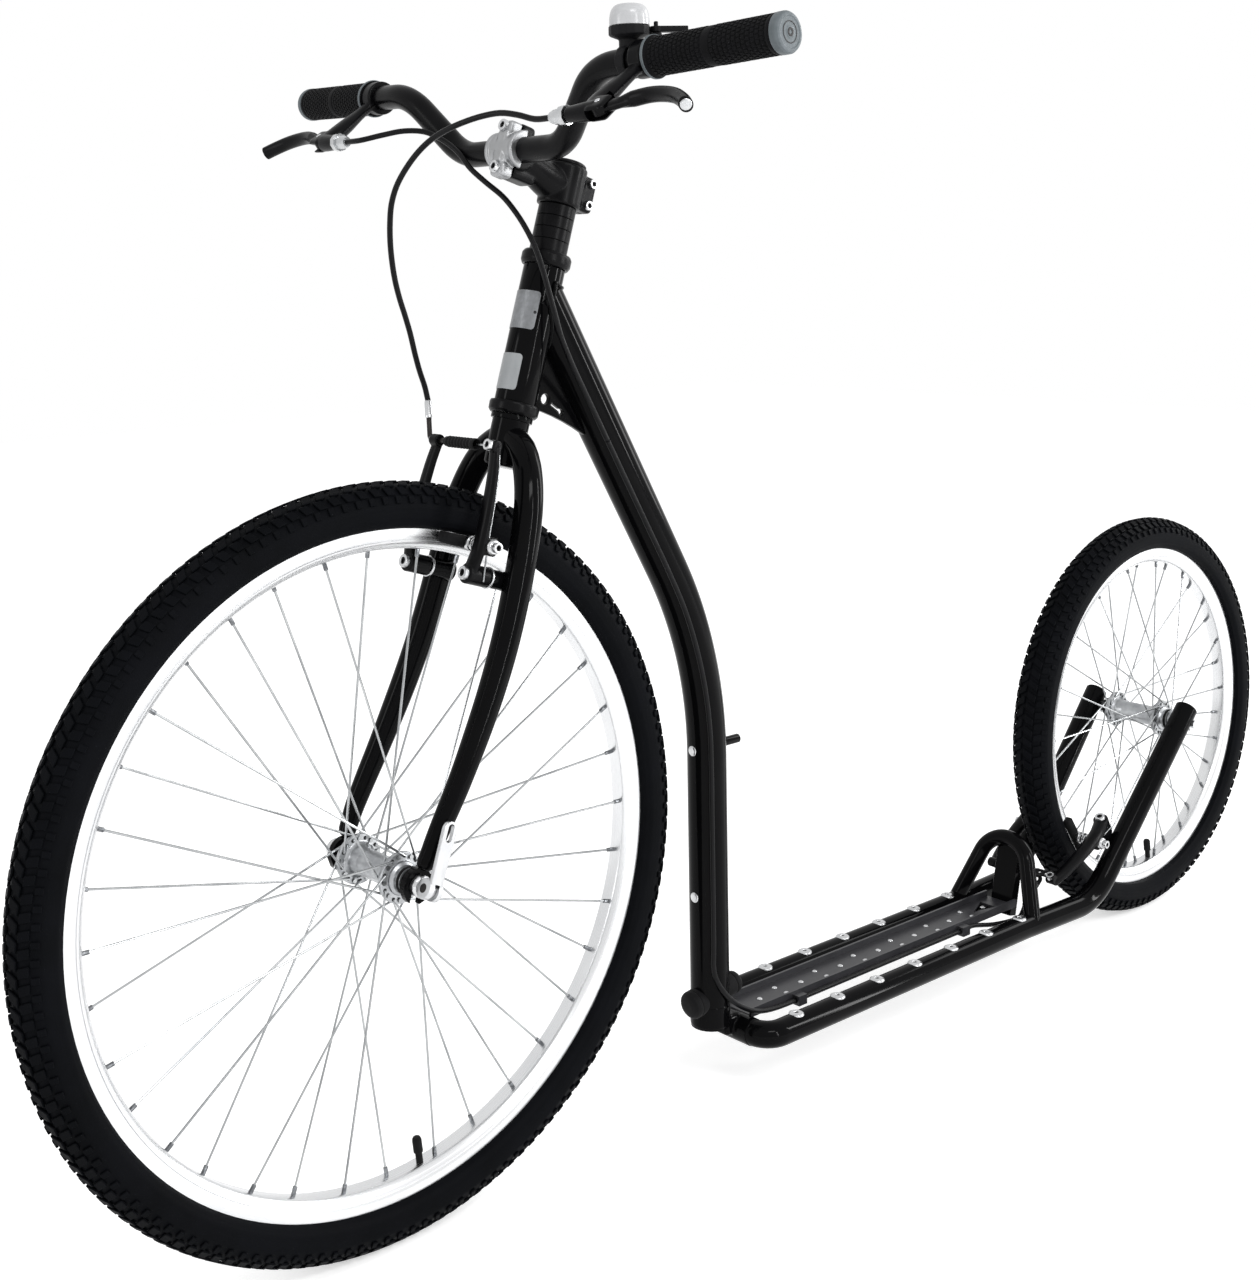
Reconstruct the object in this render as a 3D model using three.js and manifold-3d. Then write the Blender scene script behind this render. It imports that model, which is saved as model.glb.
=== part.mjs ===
// A kick bike: a scooter with a large spoked front wheel, a smaller rear wheel and a low deck.
// Millimetres. X is forward, Y is to the rider's left, Z is up, and the ground is at zero.
import * as THREE from 'three';
import { mergeVertices } from 'three/addons/utils/BufferGeometryUtils.js';
import Module from 'manifold-3d';

const wasm = await Module();
wasm.setup();

// Shared clearances and cuts
const seatGap = 0.3;
const runningGap = 0.5;
const overrun = 4;
const mergeDistance = 0.0001;

// Wheels
const wheelbase = 1144;
const frontTyreRadius = 323, rearTyreRadius = 245;
const tyreTubeRadius = 23.5, beadDepth = 6.5, frontTyreHeight = 37.5, rearTyreHeight = 36.5;
const rimHalfWidth = 12.5, rimWall = 1.8, rimWellDepth = 7.2, brakeTrack = 11, rimDepth = 18,
  rimInnerHalfWidth = 7.5;
const frontWheelSegments = 40, rearWheelSegments = 32, tyreArcSteps = 3, tyreTuckAngle = -24;
const spokeCount = 36, spokeCrossing = 60, spokeRadius = 1.1, spokeRimOffset = 2.6;
const flangeOffset = 31, flangeRadius = 21.5, flangeThickness = 4.4, spokeCircleRadius = 18.3;
const hubShellRadius = 12.5, hubSealRadius = 11.5, locknutRadius = 8.5, locknutWidth = 5;
const frontHubHalfWidth = 49.7, rearHubHalfWidth = 48.7, axleRadius = 4.7;
const valveStemRadius = 3.4, valveCapRadius = 4.3, valveStemLength = 9, valveCapLength = 14, valveLean = 7;

// Steering head
const headAngle = 72.6, forkRake = 36.3, forkClearance = 76;
const steererRadius = 14.3, steererBaseRadius = 16.5, steererBaseLength = 41, crownRaceRadius = 18.5;
const crownRaceHeight = 4.6, lowerCupHeight = 10.6, upperCupHeight = 12.5, cupRadius = 22, cupFaceRadius = 20;
const headTubeLength = 122.6, headTubeRadius = 18.5, headTubeBore = 16;
const spacerCount = 4, spacerHeight = 10.6, spacerRadius = 16.8, spacerGroove = 0.7;

// Fork
const legSpread = 60, legRadius = 12.5;
const dropoutThickness = 6, dropoutRadius = 14, dropoutFaceOffset = 50, dropoutSlotLength = 24;
const frontBossRadius = 8, studRadius = 4, studHeadRadius = 5.5, studHeadHeight = 3;

// Stem and bar
const stemClampHeight = 37, stemClampRadius = 19.5, stemReach = 62, stemRise = 12, stemHalfWidth = 14;
const barClampHalfWidth = 18.5, barClampRadius = 17, barRadius = 11.1, faceSplit = 1.2, faceBoltOffset = 18.5;
const faceLugHalfWidth = 8, faceLugHeight = 11, faceLugDepth = 12, faceBoltRadius = 4.6, faceBoltHeight = 4;
const pinchLugRadius = 7, pinchLugOffset = 25, pinchLugSpacing = 20, pinchLugHalfWidth = 10, pinchSlot = 2.4;
const topCapHeight = 3.5;
const barBendLowY = 69, barBendHighY = 127, barEndY = 314, barRise = 50, barSweepForward = 33,
  barSweepBack = 14;
const barEndRise = 12.5, barLowRadius = 45, barHighRadius = 55;

// Grips
const gripStart = 63.2, gripLength = 123, gripRadius = 15.6, gripFlangeRadius = 17, gripFlangeWidth = 4;
const gripRingDepth = 0.7, gripRings = 3, gripCapLength = 8, gripCapRadius = 15.8, gripCapDome = 2.5;

// Brake levers
const leverStation = 55, leverDropAngle = 53, leverClampRadius = 16, leverClampHalfWidth = 7;
const leverReach = 71, leverBodyThickness = 14, leverBodyLength = 46, leverPinRadius = 2.6, leverSlot = 9;
const leverRootRadius = 8, bladeLength = 94, bladeHalfThickness = 5.5, bladeHalfWidth = 6.5;
const adjusterRadius = 6.2, adjusterNutRadius = 8, adjusterLength = 18, adjusterNutLength = 6;

// Bell
const bellStation = 38.5, bellLift = 16.8, bellBaseRadius = 16.5, bellFootRadius = 8.5, bellBaseHeight = 10.5;
const bellDomeRadius = 15.8, bellDomeHeight = 17, bellClampRadius = 14, bellClampHalfWidth = 4.5,
  bellDomeWall = 1.6;
const strikerReach = 46, strikerPivotReach = 21, strikerHalfWidth = 4, strikerPinRadius = 2;
const strikerBearing = 146, strikerEarRadius = 5;

// Front axle and quick release
const skewerNutRadius = 9, skewerNutLength = 11, skewerCapRadius = 9.5, skewerCapLength = 6.5;
const camRadius = 8.5, camWidth = 15, camOffset = 15.5, camSlot = 5, camPinRadius = 2.6, camEyeRadius = 5.6;
const releaseLength = 57, releaseWidth = 11, releaseTipWidth = 13, releaseThickness = 4, releaseTilt = 10;
const releaseHoleLength = 14, releaseHoleWidth = 5, releaseOffset = 7.5;

// Linear-pull brakes
const brakePivotY = 42, brakePivotReach = 34, brakeArmDepth = 13, brakeBarrelRadius = 8.5,
  brakeBarrelBack = 9.5;
const brakeStrapFront = 13, brakeCradleForward = 4, brakeCradleRadius = 5.4, brakeCradleLength = 11;
const brakeArmLength = 108, brakeArmHalfWidth = 7, brakeArmTopHalfWidth = 5.2, brakeArmBow = 5;
const padHeight = 25.5, padSlotWidth = 7.6, padSlotHeight = 15, padPostRadius = 3.2;
const padGap = 2.1, padThickness = 9, padLength = 58, padShoeHeight = 10, padWasherRadius = 7,
  padWasherWidth = 3.5;
const padNutRadius = 5.2, padNutLength = 6;
const noodleRadius = 2.4, frontNoodleRise = 29, frontNoodleOut = 9.8, rearNoodleRise = 36,
  rearNoodleOut = -13;
const noodleTail = 22, noodleBend = 6;
const ferruleRadius = 3.4, ferruleLength = 12, ferruleOverlap = 4;
const bootRadius = 5.4, frontBootReach = 42, rearBootReach = 32, frontBootStart = 15, rearBootStart = 28;
const bootRibs = 4, bootRibDepth = 0.9;
const rearPivotLift = 22.5, rearArmAngle = 27;

// Frame
const mainTubeMeet = 106, mainTubeAngle = 60.3, mainTubeTopRadius = 21, mainTubeLowRadius = 19.2;
const mainTubeWheelGap = 62, mainTubeBendRadius = 380, mainTubeFootZ = 73;
const bottleBossRadius = 6, bottleBossHeight = 4, bottleBossUpperZ = 268, bottleBossLowerZ = 202;
const pegZ = 351, pegRadius = 4, pegHeadRadius = 5.4, pegLength = 24, pegHeadLength = 5;
const rearPlugZ = 107, rearPlugRadius = 11, rearPlugLength = 19, frontPlugZ = 98, frontPlugRadius = 13.5;
const frontPlugLength = 12, plugStemRadius = 5, plugDome = 4;
const gussetThickness = 5, gussetHoleRadius = 4.8, gussetSlotWidth = 2.4, gussetKeyRadius = 2.8,
  gussetFoot = 66;
const gussetHeight = 60, gussetHoleRun = 12, gussetHoleRise = 9, gussetSlotRun = 8, gussetSlotLength = 13;

// Deck and rear stays
const railRadius = 13, railZ = 66, railY = 49.5, crossInset = 4.5, railCornerRadius = 20;
const stayAngle = 46, stayOffset = 8.6, stayFootY = 55, stayTopY = 62, stayBendRadius = 75, stayOverhang = 15;
const railSplayGap = 66;
const channelHalfWidth = 21, channelBase = 2.5, channelLip = 9, channelZ = 75, channelWall = 2.5;
const channelNotchLength = 20, channelNotchWidth = 20, channelNotchInset = 22, channelFrontReach = 8;
const clipLength = 12, clipWall = 2.5, clipFrontReach = 102, clipRearGap = 144;
const hoopRadius = 9, hoopFootGap = 55, hoopFootY = 53.8, hoopCornerZ = 211, hoopBendRadius = 33,
  hoopLean = 18.7;
const webFootGap = 43, webFootZ = 63, webLean = 12.7, webHalfWidth = 14, webThickness = 3, webFlange = 12;
const webTopZ = 142;
const axleNutRadius = 9, axleNutLength = 7, axleCollarRadius = 8.5, axleCollarEnd = 54, axleNutSeat = 66;
const axleEndLength = 3.5;

// Cables
const cableRadius = 2.5, cableSides = 8, cableStep = 13, cableTurn = 9, cableReach = 100, guideZ = 668,
  guideLowShare = 0.245;
const guideSteps = 12, guideTurn = 56;
const linkWidth = 8, linkLength = 20, linkThickness = 2.5, linkLift = 6.55, linkStart = -18;

// Worked out from the sizes above
const radians = Math.PI / 180;
const lean = (90 - headAngle) * radians;
const frontRimRadius = frontTyreRadius - frontTyreHeight, rearRimRadius = rearTyreRadius - rearTyreHeight;
const axleDrop = frontTyreRadius + forkClearance;
const frontAxleX = (wheelbase + rearTyreRadius - frontTyreRadius) / 2;
const rearAxleX = frontAxleX - wheelbase;
const mainTubeFootX = frontAxleX - frontTyreRadius - mainTubeWheelGap;
const deckRearX = rearAxleX + rearTyreRadius;
const railSplayX = deckRearX + railSplayGap, hoopFootX = deckRearX + hoopFootGap,
  webFootX = deckRearX + webFootGap;
const clipFrontX = mainTubeFootX - clipFrontReach, clipRearX = deckRearX + clipRearGap;
const headX = frontAxleX - forkRake * Math.cos(lean) - axleDrop * Math.sin(lean);
const headZ = frontTyreRadius - forkRake * Math.sin(lean) + axleDrop * Math.cos(lean);
const lowerCupTop = lowerCupHeight - seatGap * 10;
const headTubeTop = lowerCupTop + seatGap + headTubeLength;
const upperCupTop = headTubeTop + seatGap + upperCupHeight;
const spacerBottom = upperCupTop + seatGap;
const stemBottom = spacerBottom + spacerCount * spacerHeight + seatGap;
const stemTop = stemBottom + stemClampHeight;
const barCentreW = stemBottom + stemClampHeight / 2 + stemRise;

const gloss = new THREE.MeshStandardMaterial({ color: 0x0e0e10, roughness: 0.18, metalness: 0.2 });
const satin = new THREE.MeshStandardMaterial({ color: 0x1b1b1d, roughness: 0.45, metalness: 0.3 });
const rubber = new THREE.MeshStandardMaterial({ color: 0x17171a, roughness: 0.85, metalness: 0 });
const plastic = new THREE.MeshStandardMaterial({ color: 0x131314, roughness: 0.55, metalness: 0 });
const silver = new THREE.MeshStandardMaterial({ color: 0xc9cbcd, roughness: 0.3, metalness: 0.9 });
const castAlloy = new THREE.MeshStandardMaterial({ color: 0xa9aaac, roughness: 0.5, metalness: 0.7 });
const greyCap = new THREE.MeshStandardMaterial({ color: 0x6f7274, roughness: 0.5, metalness: 0 });
const housing = new THREE.MeshStandardMaterial({ color: 0x0c0c0d, roughness: 0.4, metalness: 0 });

const at = (x, y, z) => new THREE.Vector3(x, y, z);
const up = at(0, 0, 1), left = at(0, 1, 0), forward = at(1, 0, 0);

// Solids for cuts and joins
function toSolid(geometry) {
  const bare = new THREE.BufferGeometry();
  bare.setAttribute('position', geometry.attributes.position.clone());
  if (geometry.index) bare.setIndex(geometry.index.clone());
  const merged = mergeVertices(bare, mergeDistance);
  const corners = merged.attributes.position, index = merged.index.array, kept = [];
  let volume = 0;
  const a = at(0, 0, 0), b = at(0, 0, 0), c = at(0, 0, 0);
  for (let i = 0; i < index.length; i += 3) {
    const [p, q, r] = [index[i], index[i + 1], index[i + 2]];
    if (p === q || q === r || r === p) continue;
    kept.push(p, q, r);
    volume += a.fromBufferAttribute(corners, p).dot(
      b.fromBufferAttribute(corners, q).cross(c.fromBufferAttribute(corners, r)));
  }
  if (volume < 0) kept.reverse();
  return new wasm.Manifold(new wasm.Mesh({
    numProp: 3, vertProperties: new Float32Array(corners.array), triVerts: new Uint32Array(kept),
  }));
}

function toGeometry(solid) {
  const mesh = solid.getMesh();
  const geometry = new THREE.BufferGeometry();
  geometry.setAttribute('position', new THREE.BufferAttribute(new Float32Array(mesh.vertProperties), 3));
  geometry.setIndex(new THREE.BufferAttribute(new Uint32Array(mesh.triVerts), 1));
  return geometry;
}

const join = (...solids) => wasm.Manifold.union(solids);
const cut = (solid, ...tools) => solid.subtract(tools.length > 1 ? wasm.Manifold.union(tools) : tools[0]);
const moved = (geometry, matrix) => geometry.clone().applyMatrix4(matrix);

// A turned piece: a closed profile of [radius, height] pairs turned about Z
function turned(profile, segments) {
  const points = profile.map(([radius, height]) => new THREE.Vector2(radius, height));
  if (profile[0][0] > 0) points.push(points[0].clone());
  return new THREE.LatheGeometry(points, segments).rotateX(Math.PI / 2);
}

// A body through rings of the same number of points, closed with flat ends
function loft(rings) {
  const sides = rings[0].length, positions = [], index = [];
  for (const ring of rings) for (const p of ring) positions.push(p.x, p.y, p.z);
  for (let i = 0; i + 1 < rings.length; i++) {
    for (let j = 0; j < sides; j++) {
      const a = i * sides + j, b = i * sides + (j + 1) % sides;
      index.push(a, b, a + sides, b, b + sides, a + sides);
    }
  }
  const last = (rings.length - 1) * sides;
  for (let j = 1; j + 1 < sides; j++) index.push(0, j + 1, j, last, last + j, last + j + 1);
  const geometry = new THREE.BufferGeometry();
  geometry.setAttribute('position', new THREE.Float32BufferAttribute(positions, 3));
  geometry.setIndex(index);
  return geometry;
}

// A tube through points: one radius, or one radius per point, and an optional flattening across it
function tube(points, radius, sides, flatten = 1) {
  const rings = [];
  const first = points[1].clone().sub(points[0]).normalize();
  let side = Math.abs(first.dot(left)) < Math.cos(Math.PI / 4) ? left.clone() : up.clone();
  points.forEach((point, i) => {
    const before = points[Math.max(i - 1, 0)], after = points[Math.min(i + 1, points.length - 1)];
    const into = point.clone().sub(before), out = after.clone().sub(point);
    const tangent = into.normalize().add(out.normalize()).normalize();
    side = side.clone().addScaledVector(tangent, -side.dot(tangent)).normalize();
    const across = tangent.clone().cross(side);
    const r = Array.isArray(radius) ? radius[i] : radius;
    const ring = [];
    for (let j = 0; j < sides; j++) {
      const turn = (j + 0.5) / sides * 2 * Math.PI;
      ring.push(point.clone().addScaledVector(side, r * flatten * Math.cos(turn))
        .addScaledVector(across, r * Math.sin(turn)));
    }
    rings.push(ring);
  });
  return loft(rings);
}

// A bent tube's centre line: corners rounded by the bend radius of each
function bent(corners, radii, stepCounts) {
  const points = [corners[0]];
  for (let i = 1; i + 1 < corners.length; i++) {
    const corner = corners[i];
    const back = corners[i - 1].clone().sub(corner).normalize();
    const on = corners[i + 1].clone().sub(corner).normalize();
    const half = back.angleTo(on) / 2, radius = radii[i - 1], steps = stepCounts[i - 1];
    const centre = corner.clone().addScaledVector(back.clone().add(on).normalize(), radius / Math.sin(half));
    const from = corner.clone().addScaledVector(back, radius / Math.tan(half)).sub(centre);
    const to = corner.clone().addScaledVector(on, radius / Math.tan(half)).sub(centre);
    const sweep = from.angleTo(to);
    for (let k = 0; k <= steps; k++) {
      const t = k / steps;
      points.push(centre.clone().addScaledVector(from, Math.sin((1 - t) * sweep) / Math.sin(sweep))
        .addScaledVector(to, Math.sin(t * sweep) / Math.sin(sweep)));
    }
  }
  points.push(corners[corners.length - 1]);
  return points;
}

const rod = (from, to, radius, sides) => tube([from, to], radius, sides);

// The corner radius of a bore whose flats clear a round bar
const fit = (radius, sides, gap = seatGap) => (radius + gap) / Math.cos(Math.PI / sides);
const drill = (from, to, radius, sides, gap = seatGap) => toSolid(rod(from, to, fit(radius, sides, gap),
  sides));

// A flat shape pushed out on both sides of its own plane
function slab(shape, thickness, curveSegments) {
  return new THREE.ExtrudeGeometry(shape, { depth: thickness, bevelEnabled: false, curveSegments })
    .translate(0, 0, -thickness / 2);
}

function outline(points) {
  return new THREE.Shape(points.map(([x, y]) => new THREE.Vector2(x, y)));
}

const roundHole = (x, y, radius, count) => Array.from({ length: count }, (_, k) => [
  x + radius * Math.cos(k / count * 2 * Math.PI), y + radius * Math.sin(k / count * 2 * Math.PI)]);

const block = (from, to) => new THREE.BoxGeometry(to.x - from.x, to.y - from.y, to.z - from.z)
  .translate((from.x + to.x) / 2, (from.y + to.y) / 2, (from.z + to.z) / 2);

// Shape plane to part plane: shape x and y become the two named directions
const plane = (xAxis, yAxis, origin = at(0, 0, 0)) =>
  new THREE.Matrix4().makeBasis(xAxis, yAxis, xAxis.clone().cross(yAxis)).setPosition(origin);

const mirror = new THREE.Matrix4().makeScale(1, -1, 1);
const mirrored = (matrix) => mirror.clone().multiply(matrix).multiply(mirror);

function addPart(parent, name, solid, material, matrix) {
  const mesh = new THREE.Mesh(solid.isBufferGeometry ? toGeometry(toSolid(solid)) : toGeometry(solid),
    material);
  mesh.name = name;
  if (matrix) matrix.decompose(mesh.position, mesh.quaternion, mesh.scale);
  parent.add(mesh);
  return mesh;
}

// A left piece and its mirror image on the right
function addPair(parent, name, solid, material, matrix = new THREE.Matrix4(), word = ['left', 'right']) {
  const body = solid.isBufferGeometry ? toSolid(solid) : solid;
  addPart(parent, name.replace('SIDE', word[0]), body, material, matrix);
  addPart(parent, name.replace('SIDE', word[1]), body.mirror([0, 1, 0]), material, mirrored(matrix));
}

const bike = new THREE.Group();
const head = new THREE.Group();
head.position.set(headX, 0, headZ);
head.rotation.y = -lean;
const steering = head.clone();
const frame = new THREE.Group();
frame.add(head);
bike.add(frame, steering);
steering.updateMatrix();
const headMatrix = steering.matrix.clone();
const inWorld = (u, y, w) => at(u, y, w).applyMatrix4(headMatrix);

// Wheels
function tyre(tyreRadius, rimRadius, segments) {
  const centre = tyreRadius - tyreTubeRadius, beadHalf = rimHalfWidth - rimWall - seatGap;
  const profile = [[rimRadius - beadDepth, -beadHalf], [rimRadius + seatGap, -beadHalf]];
  for (let k = -tyreArcSteps; k <= tyreArcSteps; k++) {
    const angle = (90 - Math.abs(k) / tyreArcSteps * (90 - tyreTuckAngle)) * radians;
    profile.push([centre + tyreTubeRadius * Math.sin(angle),
      Math.sign(k) * tyreTubeRadius * Math.cos(angle)]);
  }
  profile.push([rimRadius + seatGap, beadHalf], [rimRadius - beadDepth, beadHalf]);
  return turned(profile, segments);
}

function rim(rimRadius, segments) {
  const well = rimHalfWidth - rimWall;
  const half = [[rimRadius, rimHalfWidth], [rimRadius - brakeTrack, rimHalfWidth],
    [rimRadius - rimDepth, rimInnerHalfWidth]];
  const other = half.map(([radius, y]) => [radius, -y]).reverse();
  return turned([[rimRadius - rimWellDepth, well], ...half, ...other, [rimRadius - rimWellDepth, -well]],
    segments);
}

const insideRim = (rimRadius, segments) => (rimRadius - rimDepth) * Math.cos(Math.PI / segments) - seatGap
  - spokeRadius / 2;

function spokedHub(rimRadius, hubHalfWidth, segments) {
  const bore = axleRadius + runningGap, inner = flangeOffset - flangeThickness / 2;
  const outer = flangeOffset + flangeThickness / 2;
  const half = [[bore, hubHalfWidth], [locknutRadius, hubHalfWidth], [locknutRadius,
    hubHalfWidth - locknutWidth],
    [hubSealRadius, hubHalfWidth - locknutWidth], [hubSealRadius, outer], [flangeRadius, outer],
    [flangeRadius, inner], [hubShellRadius, inner - flangeThickness]];
  const other = half.map(([radius, y]) => [radius, -y]).reverse();
  const pieces = [toSolid(turned([...half, ...other], 10))], reach = insideRim(rimRadius, segments);
  // Every rim hole takes a spoke from one flange, which leaves the hub three crossings away
  for (let hole = 0; hole < spokeCount; hole++) {
    const rimAngle = hole / spokeCount * 2 * Math.PI;
    const flangeSide = hole % 2 ? -1 : 1, trailing = Math.floor(hole / 2) % 2 ? -1 : 1;
    const hubAngle = rimAngle - trailing * spokeCrossing * radians;
    const weave = trailing * spokeRadius * 0.95;
    const start = at(spokeCircleRadius * Math.cos(hubAngle), spokeCircleRadius * Math.sin(hubAngle),
      flangeSide * flangeOffset + weave);
    const end = at(reach * Math.cos(rimAngle), reach * Math.sin(rimAngle),
      flangeSide * spokeRimOffset + weave);
    pieces.push(toSolid(rod(start, end, spokeRadius, 3)));
  }
  return join(...pieces);
}

function valve(rimRadius, segments) {
  const top = insideRim(rimRadius, segments);
  const stem = top - valveStemLength, cap = stem - valveCapLength;
  return turned([[0, cap], [valveCapRadius * 0.8, cap], [valveCapRadius, cap + valveCapRadius / 2],
    [valveCapRadius, stem], [valveStemRadius, stem], [valveStemRadius, top], [0, top]], 8);
}

function addWheel(name, axleX, tyreRadius, rimRadius, hubHalfWidth, segments) {
  const wheel = new THREE.Group();
  wheel.position.set(axleX, 0, tyreRadius);
  wheel.rotation.x = -Math.PI / 2;
  bike.add(wheel);
  addPart(wheel, `${name}_tyre`, tyre(tyreRadius, rimRadius, segments), rubber);
  addPart(wheel, `${name}_rim`, rim(rimRadius, segments), silver);
  addPart(wheel, `${name}_hub`, spokedHub(rimRadius, hubHalfWidth, segments), silver);
  const lower = new THREE.Matrix4().makeRotationZ(valveLean * radians)
    .multiply(new THREE.Matrix4().makeRotationX(-Math.PI / 2));
  addPart(wheel, `${name}_valve`, valve(rimRadius, segments), plastic, lower);
}

// Steering head on the frame
function addHead() {
  const bore = fit(steererRadius, 18, runningGap);
  addPart(head, 'head_tube', turned([[headTubeBore, lowerCupTop + seatGap], [headTubeRadius,
    lowerCupTop + seatGap],
    [headTubeRadius, headTubeTop], [headTubeBore, headTubeTop]], 20), gloss);
  addPart(head, 'headset_lower_cup', turned([[bore, lowerCupTop - lowerCupHeight],
    [cupFaceRadius, lowerCupTop - lowerCupHeight], [cupRadius, lowerCupTop - lowerCupHeight * 0.75],
    [cupRadius, lowerCupTop], [bore, lowerCupTop]], 18), plastic);
  const cup = headTubeTop + seatGap;
  addPart(head, 'headset_upper_cup', turned([[bore, cup], [cupFaceRadius, cup], [cupRadius,
    cup + upperCupHeight * 0.3],
    [cupRadius, cup + upperCupHeight * 0.8], [cupFaceRadius, upperCupTop], [bore, upperCupTop]], 18),
      plastic);
}

// Main tube: from the steering head down to the deck, in one long bend
const mainTop = inWorld(0, 0, mainTubeMeet);
const mainCornerZ = mainTop.z - (mainTop.x - mainTubeFootX) * Math.tan(mainTubeAngle * radians);
const mainTubeLine = bent([mainTop, at(mainTubeFootX, 0, mainCornerZ), at(mainTubeFootX, 0, mainTubeFootZ)],
  [mainTubeBendRadius], [6]);

function mainTubeSolid(extra = 0) {
  const radii = mainTubeLine.map((point) => extra + THREE.MathUtils.mapLinear(
    Math.min(Math.max(point.z, mainCornerZ), mainTop.z), mainCornerZ, mainTop.z, mainTubeLowRadius,
      mainTubeTopRadius));
  return toSolid(tube(mainTubeLine, radii, 16));
}

function headTubeTool() {
  const tool = rod(at(0, 0, -overrun * 3), at(0, 0, upperCupTop), fit(headTubeRadius, 20), 20);
  return toSolid(moved(tool, headMatrix));
}

// Deck loop: one tube from the left stay's end, round the front of the deck, to the right stay's end
const crossX = mainTubeFootX - mainTubeLowRadius - railRadius + crossInset;
const stayUp = at(Math.sin(stayAngle * radians), 0, Math.cos(stayAngle * radians));
const stayDown = at(Math.cos(stayAngle * radians), 0, -Math.sin(stayAngle * radians));
const rearAxle = at(rearAxleX, 0, rearTyreRadius);
const stayTop = rearAxle.clone().addScaledVector(stayUp, stayOffset);
const stayFootRun = (stayTop.z - railZ) / Math.sin(stayAngle * radians);
const stayFoot = stayTop.clone().addScaledVector(stayDown, stayFootRun).setY(stayFootY);
const stayEnd = stayTop.clone().addScaledVector(stayDown, -stayOverhang)
  .setY(stayTopY + (stayTopY - stayFootY) * stayOverhang / stayFootRun);
const flip = (point) => at(point.x, -point.y, point.z);
const loopCorners = [stayEnd, stayFoot, at(railSplayX, railY, railZ), at(crossX, railY, railZ)];
const loopRadii = [stayBendRadius, stayBendRadius * 4, railCornerRadius];

function deckLoopTube(extra = 0) {
  const corners = [...loopCorners, ...[...loopCorners].reverse().map(flip)];
  const line = bent(corners, [...loopRadii, ...[...loopRadii].reverse()], [4, 1, 4, 4, 1, 4]);
  return toSolid(tube(line, railRadius + extra, 12));
}

// Rear brake pivots stand on the stays, one pad height inside the brake track
const rearTrackRadius = rearRimRadius - brakeTrack * 0.6;
const rearPivotRadius = rearTrackRadius - padHeight;
const rearPivotRun = Math.sqrt(rearPivotRadius ** 2 - (stayOffset + rearPivotLift) ** 2);
const rearPivot = stayTop.clone().addScaledVector(stayUp, rearPivotLift).addScaledVector(stayDown,
  rearPivotRun)
  .setY(brakePivotY);
const rearArmDown = at(Math.cos(rearArmAngle * radians), 0, -Math.sin(rearArmAngle * radians));
const rearArmOut = at(Math.sin(rearArmAngle * radians), 0, Math.cos(rearArmAngle * radians));

function studPieces(pivot, axis, bossStart) {
  const along = (run) => pivot.clone().addScaledVector(axis, run);
  const back = brakeBarrelBack + seatGap, face = brakeStrapFront + seatGap;
  return [toSolid(rod(along(bossStart), along(-back), frontBossRadius, 10)),
    toSolid(rod(along(-back), along(face), studRadius, 8)),
    toSolid(rod(along(face), along(face + studHeadHeight), studHeadRadius, 8))];
}

function addDeck() {
  const across = (y) => rearAxle.clone().setY(y);
  const axleHole = drill(across(-stayTopY * 2), across(stayTopY * 2), axleRadius, 8);
  const spots = [1, -1].flatMap((side) => [
    drill(across(side * (axleCollarEnd - overrun * 3)), across(side * (axleCollarEnd + seatGap)),
      axleCollarRadius, 8),
    drill(across(side * (axleNutSeat - seatGap)), across(side * (stayTopY + railRadius + overrun)),
      axleNutRadius, 8)]);
  const bosses = studPieces(rearPivot, rearArmOut, -rearPivotLift + railRadius / 2);
  const otherBosses = bosses.map((piece) => piece.mirror([0, 1, 0]));
  const loop = join(cut(deckLoopTube(), axleHole, ...spots), ...bosses, ...otherBosses);
  addPart(frame, 'deck_loop', loop, gloss);

  const bossPair = [bottleBossUpperZ, bottleBossLowerZ].map((z) => toSolid(rod(at(mainTubeFootX, 0, z),
    at(mainTubeFootX - mainTubeLowRadius - bottleBossHeight, 0, z), bottleBossRadius, 8)));

  addPart(frame, 'main_tube', cut(join(mainTubeSolid(), ...bossPair, pumpPeg()), headTubeTool(),
    deckLoopTube(seatGap),
    drill(plugRear, plugFront, plugStemRadius, 8)), gloss);
  const stem = toSolid(rod(plugRear, plugFront, plugStemRadius, 8));
  const ends = [[plugRear, plugFront, rearPlugRadius], [plugFront, plugRear, frontPlugRadius]].map(([from,
    to, radius]) => {
    const domed = turned([[0, 0], [radius - plugDome, 0], [radius, plugDome], [radius, plugInset], [0,
      plugInset]], 10);
    const axis = to.clone().sub(from).normalize();
    return toSolid(moved(domed, new THREE.Matrix4().makeRotationFromQuaternion(
      new THREE.Quaternion().setFromUnitVectors(up, axis)).setPosition(from)));
  });
  addPart(frame, 'tube_plug', join(cut(join(...ends), mainTubeSolid(seatGap)), stem), plastic);
}

// The peg on the rear of the main tube, and the ends of the rubber plug that passes through its foot
const mainTubeBack = mainTubeFootX - mainTubeLowRadius, mainTubeFace = mainTubeFootX + mainTubeLowRadius;
const plugRear = at(mainTubeBack - rearPlugLength, 0, rearPlugZ),
  plugFront = at(mainTubeFace + frontPlugLength, 0, frontPlugZ);
const plugInset = rearPlugLength + overrun;

function pumpPeg() {
  const face = mainTubeLowRadius - overrun / 2, end = face + pegLength;
  const peg = turned([[0, 0], [pegRadius, 0], [pegRadius, end - pegHeadLength],
    [pegHeadRadius, end - pegHeadLength], [pegHeadRadius, end], [0, end]], 10);
  return toSolid(moved(peg, new THREE.Matrix4().makeRotationY(-Math.PI / 2).setPosition(mainTubeFootX, 0,
    pegZ)));
}

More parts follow.
